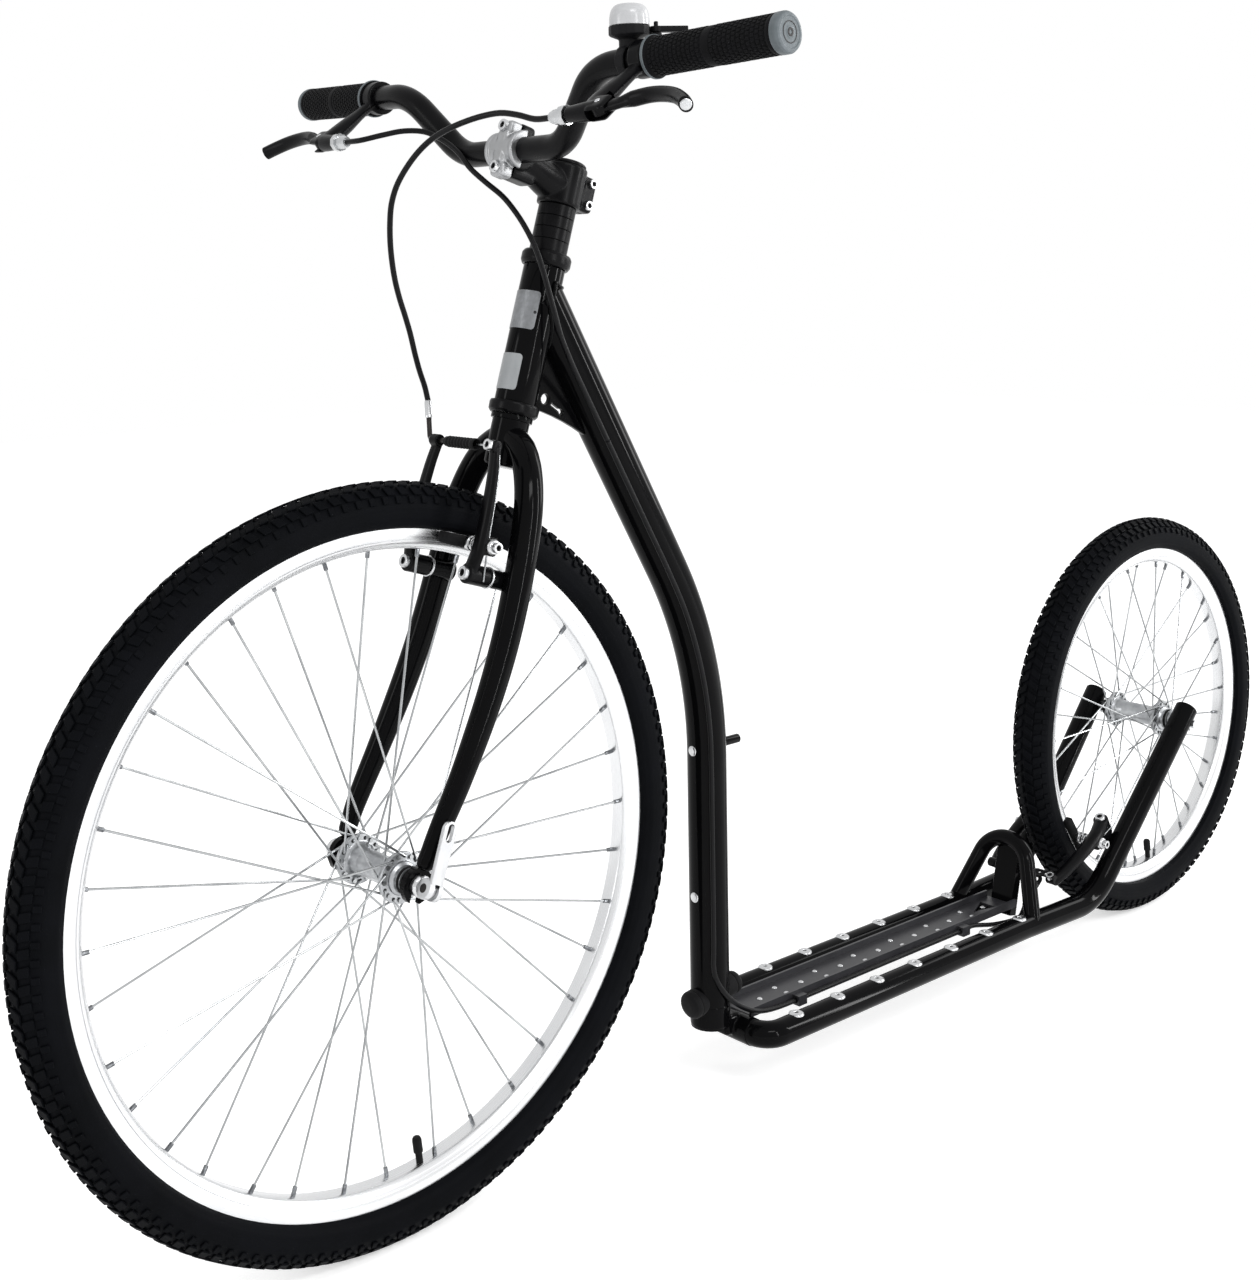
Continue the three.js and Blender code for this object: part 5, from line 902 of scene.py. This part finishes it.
def makeGrips():
    # a sleeve with rows of small moulded blocks, broken by two plain bands, and a flange at its inner end
    home = along(gripSizes["start"], gripSizes["run"])
    radius, rows, around, (long, wide, high) = of(gripSizes, "sleeve rows round block")
    sleeve = turned([(11.2, 0), (16.4, 0), (17, 1), (17, 3.2), (15.6, 4.4), (radius, 5.6), (radius, 119),
                     (15.6, 120.4), (15.6, 123), (11.2, 123)], home, 56, 0.5)
    finish(sleeve, "grip_sleeve_left", "steering", gripRubber, ["grip_left"])
    finish(mirroredCopy(sleeve), "grip_sleeve_right", "steering", gripRubber, ["grip_right"])
    first = easedBlock((radius - 0.6, -wide / 2, -long / 2), (radius + high, wide / 2, long / 2), 0.3, 1)
    spinCopies(first, around)
    blocks = [turned([(radius - 0.2, 58.6), (15.3, 59.4), (15.3, 66.4), (radius - 0.2, 67.2)], home, 56, 0.3)]
    for k in range(rows):
        if k not in gripSizes["plainRows"]:
            row = copyOf(first)
            turn = Matrix.Rotation(pi / around * (k % 2), 4, "Z")
            row.data.transform(home @ moved(0, 0, 7.8 + gripSizes["treadLong"] / rows * k) @ turn)
            blocks.append(row)
    bpy.data.objects.remove(first)
    finishBoth(joined(blocks), "grip_blocks_left", "steering", gripRubber)
    end = turned([(0, 123.3), (15.8, 123.3), (15.8, 128.6), (14.6, 130.6), (12.2, 131.2), (11.6, 130.6),
                  (5, 130.9), (4.2, 131.3), (0, 131.3)], home, 56, 0.4)
    ring = turned([(16.2, 0.2), (17.3, 0.6), (17.3, 3), (16.2, 3.4)], home, 56, 0.3)
    end = joined([end, ring])
    finish(end, "grip_end_left", "steering", greyPlug, ["grip_cap_left"])
    finish(mirroredCopy(end), "grip_end_right", "steering", greyPlug, ["grip_cap_right"])
    screw = turned([(0, 130.2), (1.2, 130.2), (1.6, 131.6), (3.4, 131.6), (3.4, 130.2)], home, 24, 0.2)
    # the groove round the end cap is drawn as a dark ring: painted shade
    groove = turned([(7.6, 130.2), (7.6, 131.05), (8.3, 131.05), (8.3, 130.2)], home, 40, 0)
    finishBoth(joined([screw, groove]), "grip_screw_left", "steering", darkSteelAndPaintedShade)


makeForkLegs()
makeBar()
makeGrips()
print("fork, bar and grips built")

stemSizes = {
    "low": 186.3, "high": 223.3, "clamp": 19.5, "reach": 62, "rise": 216.8, "barrel": 17, "barrelHalf": 14,
    "earAt": 18.5, "split": 63, "bore": 11.15, "lugs": (-31.3, 10, 188.5, 220.5)}


def stemBore():
    reach, rise, bore = of(stemSizes, "reach rise bore")
    return easedRod((reach, -40, rise), (reach, 40, rise), bore, 0, 56)


def keepSide(piece, at, outer):
    # cuts across the reach, keeping what lies behind or ahead of the split
    editAll(piece)
    bpy.ops.mesh.bisect(plane_co=(at * mm, 0, 0), plane_no=(1, 0, 0), use_fill=True, clear_outer=not outer,
                        clear_inner=outer)
    leaveEdit()
    piece.data.transform(headHome)


def makeStem():
    low, high, clamp, reach, rise, barrel, half, ear = of(
        stemSizes, "low high clamp reach rise barrel barrelHalf earAt")
    neck = smoothPath([(0, 0, 204), (18, 0, 205), (38, 0, 210.5), (62, 0, 216)], 3)
    neckRadii = [18.6 - 4.4 * sin(min(1, k / 14) * pi / 2) for k in range(len(neck))]
    back, wide, bottom, top = stemSizes["lugs"]
    forms = [turned([(0, low), (clamp, low), (clamp, high), (0, high)], ease=1.4),
             bentTube(neck, neckRadii, 40),
             easedRod((reach, -half, rise), (reach, half, rise), barrel, 1.2, 56),
             easedBlock((48, -10.5, rise + ear - 6), (66, 10.5, rise + ear + 5.6), 4, 4),
             easedBlock((37, -10.5, rise - ear - 6), (66, 10.5, rise - ear + 5.6), 4, 4),
             easedBlock((back, -wide, bottom), (-12, wide, top), 3, 4)]
    slit = easedBlock((back - 4, -0.9, bottom - 6), (-16.9, 0.9, top + 8), 0.1, 1)
    body = carved(fused(forms, 0.75, 16), stemBore(), slit)
    keepSide(body, stemSizes["split"], False)
    finish(body, "stem_forged", "steering", satinAnodised, ["stem"], 50)
    addBolts("stem_pinch_bolts", "steering", [
        (onHead(-25, 9.6, height), Vector((0, 1, 0)), 4.2, 3.2, 2) for height in (195, 214.8)])


def makeFaceplate():
    reach, rise, ear = of(stemSizes, "reach rise earAt")
    forms = [easedRod((reach, -18.3, rise), (reach, 18.3, rise), 15.6, 1, 56),
             easedBlock((60, -7.2, rise - 15), (77.4, 7.2, rise + 15), 3.4, 4)]
    for side in (1, -1):  # raised rings at the ends, ears above and below
        forms.append(easedRod((reach, side * 14.2, rise), (reach, side * 18.4, rise), 17, 0.8, 56))
        at = rise + side * ear
        forms.append(easedBlock((56, -8.6, at - 7.4), (75.6, 8.6, at + 5.4), 3.4, 4))
    plate = carved(fused(forms, 0.6, 12), stemBore())
    keepSide(plate, stemSizes["split"] + 0.9, True)
    finish(plate, "stem_faceplate_cast", "steering", castAluminium, ["stem_faceplate"], 50)
    addBolts("faceplate_bolts", "steering", [
        (onHead(75, 0, rise + side * ear), headAhead, 5.2, 4.2, 3) for side in (1, -1)])


makeStem()
makeFaceplate()
print("stem built")

leverSizes = {
    "clamp": 15.4, "clampHalf": 6.6, "bore": 11.15, "slotFrom": (53.8, -4.7), "slotHalf": 4.5,
    "origin": (384.909, 181.725, 978.152), "reach": (0.8081, 0.0979, -0.5809), "out": (-0.091, 0.995, 0.0412),
    "rise": (0.582, 0.0196, 0.8129), "pin": (71, 3.9), "long": 94, "half": 4.15,
    "armRadii": [7.4, 7.2, 7, 6.8, 6.8, 6.8, 7, 7.2, 7.6, 8, 8.4, 8.8, 9.2, 9.4, 9.6, 9.8],
    "shares": ((1, 0), (0.96, 0.14), (0.91, 0.3), (0.88, 0.46), (0.91, 0.62), (0.99, 0.78), (1.12, 0.92),
               (1.22, 1))}
leverHome = frameAt(*of(leverSizes, "origin reach out rise"))


def flattened(tube, share):
    tube.data.transform(Matrix.Diagonal((1, 1, share, 1)))
    return tube


def makeBlades():
    # a forged blade, narrow where it enters the body, with a polished pad on its tip
    (reach, start), long, half = of(leverSizes, "pin long half")
    path = smoothPath([(reach * x, start + long * y, 0) for x, y in leverSizes["shares"]], 2)
    third, wide = len(path) // 3, path[len(path) // 6:]
    blade = fused([easedRod((reach, start, -half), (reach, start, half), 7.8, 0.8, 40),
                   flattened(bentTube(path[:third], [6.4 - 0.8 * k / third for k in range(third)], 28), 0.66),
                   flattened(bentTube(wide, [3.4 + 2 * min(1, k / 7) for k in range(len(wide))], 28), 1.18)],
                  0.55, 8)
    home = along(path[-1], path[-1] - path[-3])
    tip = turned([(0, -2), (4.7, -2), (4.7, -0.2), (3.8, 0.5), (0, 0.7)], home, 32, 0.5)
    for piece in (blade, tip):
        piece.data.transform(leverHome)
    finishBoth(blade, "lever_blade_left_forged", "left_lever", satinAnodised, ["lever_blade_left"], 60)
    finishBoth(tip, "lever_tip_left", "left_lever", polishedAluminium)


def makeLeverBodies():
    # clamp, arm, cable barrel and pivot ears run into one another as a casting
    clamp, half, (x, y), deep, bore = of(leverSizes, "clamp clampHalf slotFrom slotHalf bore")
    arm = smoothPath([(8, 0, 0), (24, -0.6, 0), (42, -3, 0), (60, -5, 0), (72, -4, 0)], 3)
    armRadii = leverSizes["armRadii"] + [10] * (len(arm) - 16)
    barrel = smoothPath([(73.4, -28.2, 0), (73.6, -14, 0), (73, 2, 0)], 3)
    forms = [easedRod((0, -half, 0), (0, half, 0), clamp, 1.2, 56), flattened(bentTube(arm, armRadii), 0.72),
             bentTube(barrel, [min(7.8, 6.4 + 0.2 * k) for k in range(len(barrel))]),
             easedBlock((61, -6, -7), (81.4, 13.6, 7), 4.4, 4)]
    body = carved(fused(forms, 0.65, 12), easedBlock((x, y, -deep), (110, 46, deep), 0.1, 1),
                  easedRod((0, -30, 0), (0, 30, 0), bore, 0, 56))
    body.data.transform(leverHome)
    pin = turned([(0, -7.3), (2.4, -7.3), (2.8, -6.6), (2.8, 6.6), (2.4, 7.3), (0, 7.3)],
                 leverHome @ along((*leverSizes["pin"], 0), (0, 0, 1)), 24, 0.2)
    finish(body, "lever_body_left_cast", "steering", satinAnodised, ["lever_body_left"], 50)
    finish(mirroredCopy(body), "lever_body_right_cast", "steering", satinAnodised, ["lever_body_right"], 50)
    finishBoth(pin, "lever_pin_left", "steering", zincSteel)


armSizes = {
    "long": 108, "bow": 5, "low": 7, "high": 5.2, "barrel": 8.5, "cradleAt": 10.5,
    "padAt": 25.5, "padFace": -27.4, "padBack": -18.4, "seat": 12.6,
    "shares": ((0, 0), (0.7, 0.12), (1.1, 0.24), (1.1, 0.5), (0.5, 0.8), (-0.4, 1))}
# home stands on the arm's pivot: x out along it, y away from the wheel, z up the arm
brakes = {
    "front": {"home": frameAt(legSizes["pivot"], headAhead, (0, 1, 0), headUp), "padTurn": 0, "flat": 0.62,
              "ahead": 8.5, "thick": 1.12},
    "rear": {"home": frameAt(deckSizes["pivot"], deckSizes["pivotAxis"], (0, 1, 0), (0.89101, 0, -0.45399)),
             "padTurn": -7.73, "flat": 0.9, "ahead": 7, "thick": 1.24}}


def armForm(flat, ahead, thick):
    long, x = of(armSizes, "long cradleAt")
    low, high = armSizes["low"] * thick, armSizes["high"] * thick
    path = smoothPath([(0, armSizes["bow"] * bow, long * rise) for bow, rise in armSizes["shares"]], 3)
    blade = bentTube(path, [low + (high - low) * point.z / long for point in path])
    blade.data.transform(moved(ahead, 0, 0) @ Matrix.Diagonal((flat, 1, 1, 1)))
    barrel = easedRod((-9.4, 0, 0), (13, 0, 0), armSizes["barrel"] + thick - 1, 1, 40)
    cradle = easedRod((x, -7.4, long), (x, 3.4, long), 5.4, 0.8, 32)
    seat = easedBlock((-6.4, -1.2, 17.6), (8, 12.2, 33.4), 2.4, 3)
    return fused([blade, barrel, cradle, seat], 0.6, 7)


def padForms(turn):
    # rubber shoe, then the washers stacked on its post
    face, back, seat, at = of(armSizes, "padFace padBack seat padAt")
    slots = [easedBlock((x - 0.9, face - 2, -8), (x + 0.9, face + 2.4, 8), 0.1, 1) for x in (-12, 0, 12)]
    shoe = carved(easedBlock((-29, face, -5), (29, back, 5), 2.6, 4), *slots)
    shoe.data.transform(moved(0, 0, at) @ Matrix.Rotation(radians(turn), 4, "Y"))
    home = along((0, 0, at), (0, 1, 0))
    stack = [(0, back - 0.5), (6.8, back - 0.5), (6.8, -14.6), (5, -13.8), (6.4, -12.6), (6.8, -9.6),
             (4.6, -8.8), (4.6, -7.6), (6.6, -6.6), (6.8, -3.4), (5.6, -2.2), (0, -2.2)]
    nut = [(0, seat - 2), (6.8, seat - 2), (6.8, seat + 1), (5.6, seat + 3.2), (0, seat + 3.2)]
    return shoe, joined([turned(stack, home, 32, 0.4), turned(nut, home, 32, 0.5)])


def makeBrake(word):
    home, padTurn, flat, ahead, thick = of(brakes[word], "home padTurn flat ahead thick")
    arm = armForm(flat, ahead, thick)
    shoe, stack = padForms(padTurn)
    spring = bentTube(smoothPath([(-1, 8.6, -4), (1.5, 9.6, 10), (5, 11, 34), (6.2, 10.2, 62), (7, 7.8, 86),
                                  (8, 5, 101)], 3), 0.8, 10)
    bolt = home @ place(0, armSizes["seat"] + 3, armSizes["padAt"]) / mm
    anchor = home @ place(armSizes["cradleAt"] + 3.4, -2, armSizes["long"]) / mm
    out, away = home.to_3x3() @ Vector((1, 0, 0)), Vector((0, 1, 0))
    for piece, name, material, stands in (
            (arm, "arm_forged", satinAnodised, [word + "_brake_arm_left"]),
            (shoe, "shoe", mouldedRubber, [word + "_brake_pad_left"]), (stack, "washers", zincSteel, ()),
            (spring, "spring", drawnSteel, ())):
        piece.data.transform(home)
        closeUp(piece)
        finishBoth(piece, word + "_brake_" + name + "_left", word + "_left_arm", material, stands, 50)
    # the cable is anchored by a second bolt, on the left arm alone
    addBolts(word + "_brake_bolts_left", word + "_left_arm", [
        (bolt, away, 4.6, 5, 2), (anchor, out, 4.8, 4.6, 2)])
    addBolts(word + "_brake_bolts_right", word + "_right_arm", [(mirrored(bolt), -away, 4.6, 5, 2)])


makeLeverBodies()
makeBlades()
makeBrake("front")
makeBrake("rear")
print("levers and brakes built")

releaseSizes = {
    "pivot": (533, 71.5, 323), "axis": (-0.88782, 0, -0.4602), "along": (-0.4602, 0, 0.88782), "cam": 8.5,
    "half": 7.45, "slot": 2.5, "base": 5.9, "tip": 6.8, "long": 57, "from": 3.5, "to": 7.5,
    "hole": (43, 52, 3), "bore": 2.75, "steeper": 7.4}


def makeRelease():
    base, tip, long, half, slot = of(releaseSizes, "base tip long half slot")
    low, high, wide = releaseSizes["hole"]
    window = plateOf(arcPoints(0, low, wide, 180, 360) + arcPoints(0, high, wide, 0, 180), 0, 12)
    blade = plateOf([(-base, 0), (base, 0)] + arcPoints(0, long - tip, tip, 0, 180), releaseSizes["from"],
                    releaseSizes["to"], 0.9)
    carved(blade, window)
    blade.data.transform(Matrix.Rotation(radians(releaseSizes["steeper"]), 4, "Z"))
    cam = carved(easedRod((-half, 0, 0), (half, 0, 0), releaseSizes["cam"], 1.1, 48),
                 easedRod((-20, 0, 0), (20, 0, 0), releaseSizes["bore"], 0.1, 32))
    lever = joined([
        carved(piece, easedBlock((-slot, -20, -26), (slot, 5.9, 12), 0.1, 1)) for piece in (blade, cam)])
    faces = joined([turned([(0, half - 0.3), (3.8, half - 0.3), (3.8, half + 0.2), (0, half + 0.35)],
                           along((0, 0, 0), (side, 0, 0)), 28, 0.1) for side in (1, -1)])
    home = frameAt(*of(releaseSizes, "pivot axis along"), (0, 1, 0))
    for piece in (lever, faces):
        piece.data.transform(home)
    finish(lever, "quick_release_lever_forged", "quick_release", leverAluminium, ["quick_release_lever"])
    finish(faces, "quick_release_pin_ends", "quick_release", noodleSteel)


plugSizes = {
    "middle": (144.5, 0, 102.5), "ends": (((179.2, 0, 98), 13.5), ((109.8, 0, 107), 11)),
    "crown": ((0.45, 0.3), (0.75, 1.4), (0.93, 3.4))}


def makePlug():
    # a domed rubber cap in front of the tube's foot, a smaller one behind it
    caps = []
    for end, radius in plugSizes["ends"]:
        run = Vector(plugSizes["middle"]) - Vector(end)
        crown = [(radius * share, height) for share, height in plugSizes["crown"]]
        groove = [(radius, 8.6), (radius - 0.6, 9.2), (radius - 0.6, 9.8), (radius, 10.4)]
        caps.append(turned([(0, 0), *crown, (radius, 6), *groove, (radius, run.length), (0, run.length)],
                           along(end, run), 56, 0.3))
    finish(joined(caps), "tube_plug_domed", "frame", mouldedRubber, ["tube_plug"], 50)


def makeDome():
    rise = [(15.8 * cos(radians(a)) ** 0.45, 3 + 14 * sin(radians(a)) ** 0.9)
            for a in range(4, 86, 5)]
    home = along((386.4, 165.3, 1005.1), (0, 0, 1))
    dome = turned([(0, 0.4), (15.2, 0.4), (15.8, 0), *rise, (0, 17)], home, 48, 0)
    finish(dome, "bell_dome_spun", "steering", bellLacquer, ["bell_dome"], 60)


makeRelease()
makePlug()
makeDome()
for name, body, material, voxel, rounds in (
        ("bell_base", "steering", mouldedNylon, 0.6, 8), ("bell_striker", "striker", mouldedNylon, 0.5, 2),
        ("skewer_cap", "steering", zincSteel, 0.5, 4), ("hoop_web", "frame", blackEnamel, 0.7, 3),
        ("head_gusset", "frame", blackEnamel, 0.6, 2)):
    softenNode(name, body, material, voxel, rounds)
print("fittings formed")


sleeves = {
    "front_cable": [
        (448.6, 142, 933.5), (450.5, 124.5, 933.7), (453.6, 107.5, 938.1), (457.7, 90.5, 940.8),
        (463.3, 73.7, 939.3), (469.5, 57.5, 935.5), (474.5, 41.3, 930.4), (477.6, 25, 923.9),
        (480.5, 10.2, 914.6), (484.7, -1.5, 902), (487.6, -11.8, 887.8), (486.5, -21.6, 873.1),
        (482.5, -30.2, 858.1), (478.1, -37, 842.3), (473.1, -42.4, 826.1), (467.3, -47, 809.9),
        (460.3, -51, 794.1), (452.5, -54.4, 778.5), (445.2, -57.7, 762.6), (439.1, -60.6, 746.2),
        (432.4, -63.6, 730.3), (425.6, -65.6, 715.4), (422.6, -65.4, 702.6)],
    "rear_cable_upper": [
        (448.6, -142, 933.5), (446.1, -124, 933.9), (431.2, -111.9, 938), (415.6, -100.5, 941.3),
        (401.8, -86.9, 939.8), (392.4, -72.1, 931.2), (387.4, -57.4, 919.4), (385.8, -43.5, 905.6),
        (379.3, -30.1, 892.8), (371.2, -17.4, 880.3), (367.4, -4.6, 866), (366, 7.9, 850.9),
        (364.5, 18.1, 834.2), (362.8, 25, 816), (360.6, 29.9, 797.1), (357, 32.9, 778),
        (351.3, 33.2, 759.3), (341.9, 31.3, 742.2), (330.8, 27.9, 726.4), (319, 24.2, 711),
        (307.4, 20.8, 695.6), (296.7, 19.1, 679.3), (287.2, 19.4, 662.1)],
    "rear_cable_lower": [
        (286.8, 19.4, 661.5), (262.8, 19.3, 619.5), (238.7, 19.1, 577.6), (214.6, 18.9, 535.6),
        (193.4, 18.7, 495.1), (177.8, 18.5, 454.1), (167.3, 18.5, 413.2), (161.8, 18.5, 373.3),
        (160.5, 18.5, 331.8), (160.5, 18.5, 289.7), (160.5, 18.5, 247.7), (160.5, 18.5, 205.7),
        (160.5, 18.5, 163.7), (160.3, 18.4, 134), (153, 22.2, 115), (138, 23.5, 99), (122, 24, 88),
        (106, 24.8, 81), (86, 25, 77.5), (58, 24.8, 76.3), (0, 24.8, 76.3), (-111, 24.8, 76.3),
        (-228.6, 24.8, 76.3)],
    "rear_cable_end": [
        (-228.6, 24.8, 76.3), (-241.6, 24.8, 76.3), (-277, 28, 69.5), (-314, 30.2, 66.7),
        (-325, 29.6, 71), (-330.2, 29.2, 77.5)]}


def makeCables():
    homes = {"front_cable": "steering", "rear_cable_lower": "frame"}
    for name, points in sleeves.items():
        sleeve = bentTube(smoothPath(points, 4), 2.5, 16)
        piece = finish(sleeve, name + "_sleeved", homes.get(name), cableSleeve, [name], 60)
        if name == "rear_cable_upper":
            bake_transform(piece)
        if name == "rear_cable_end":
            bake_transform(piece)


def makeNoodle():
    # a bent steel pipe with a bright ferrule pressed on its upper end
    x, z = 432.8, 670.3
    path = roundedPath([(x, -18, z), (x, -49.8, z), (424.9, -62, 695.4)], [6], 1.5)
    finish(bentTube(path, 2.3, 20), "front_noodle_bent", "front_right_arm", noodleSteel, ["front_noodle"])
    ferrule = turned([(0, -9), (2.6, -9), (3.2, -7), (3.2, 7.4), (2.6, 8.2), (0, 8.2)],
                     along(path[-1], path[-1] - path[-2]), 28, 0.4)
    seat = along((x, -45.4, z), (0, -1, 0))
    collar = turned([(0, 0), (3.9, 0), (3.9, 1.8), (3, 2.6), (0, 2.6)], seat, 28, 0.4)
    finish(joined([ferrule, collar]), "front_noodle_ferrule", "front_right_arm", zincSteel)
    # the bare inner wire, clamped on the left arm, slides into the boot as the arms close
    wire = bentTube([(x, 37, z), (x, 26, z), (x, 14, z)], 0.8, 10)
    finish(wire, "front_inner_wire", "front_left_arm", drawnSteel)
    # the hollow rubber bellows, with a wide mouth for the wire
    folds = [(radius, 2 + 2.1 * k) for k, radius in enumerate([4.3, 5.1] * 9)]
    boot = turned([(2.6, 0), (4.4, 0), *folds, (5.1, 41), (4.9, 42), (4.4, 42), (4.2, 36), (3.6, 25),
                   (3.3, 20), (3.3, 9), (2.6, 8)], along((x, -25, z), (0, 1, 0)), 40, 0.2)
    finish(boot, "front_boot_bellows", "front_right_arm", mouldedRubber, ["front_boot"], 60)


def dressNode(name, material, angle):
    # a solid that is shown as it is, with smooth shading up to the angle
    piece = cadNodes[name]
    piece.modifiers.new("weld", "WELD").merge_threshold = 0.02 * mm
    piece.modifiers.new("split", "EDGE_SPLIT").split_angle = radians(angle)
    piece.data.polygons.foreach_set("use_smooth", [True] * len(piece.data.polygons))
    piece.data.materials.clear()
    piece.data.materials.append(material)


makeCables()
makeNoodle()
kept = {
    "deck_channel": (channelEnamel, 25), "rear_axle": (zincSteel, 35), "front_skewer": (zincSteel, 40),
    "barrel_adjuster_left": (polishedAluminium, 40), "barrel_adjuster_right": (polishedAluminium, 40),
    "rear_noodle": (mouldedNylon, 50), "rear_boot": (mouldedRubber, 50), "rear_link": (mouldedNylon, 35)}
for name, (material, angle) in kept.items():
    dressNode(name, material, angle)
print("cables drawn, kept nodes dressed")
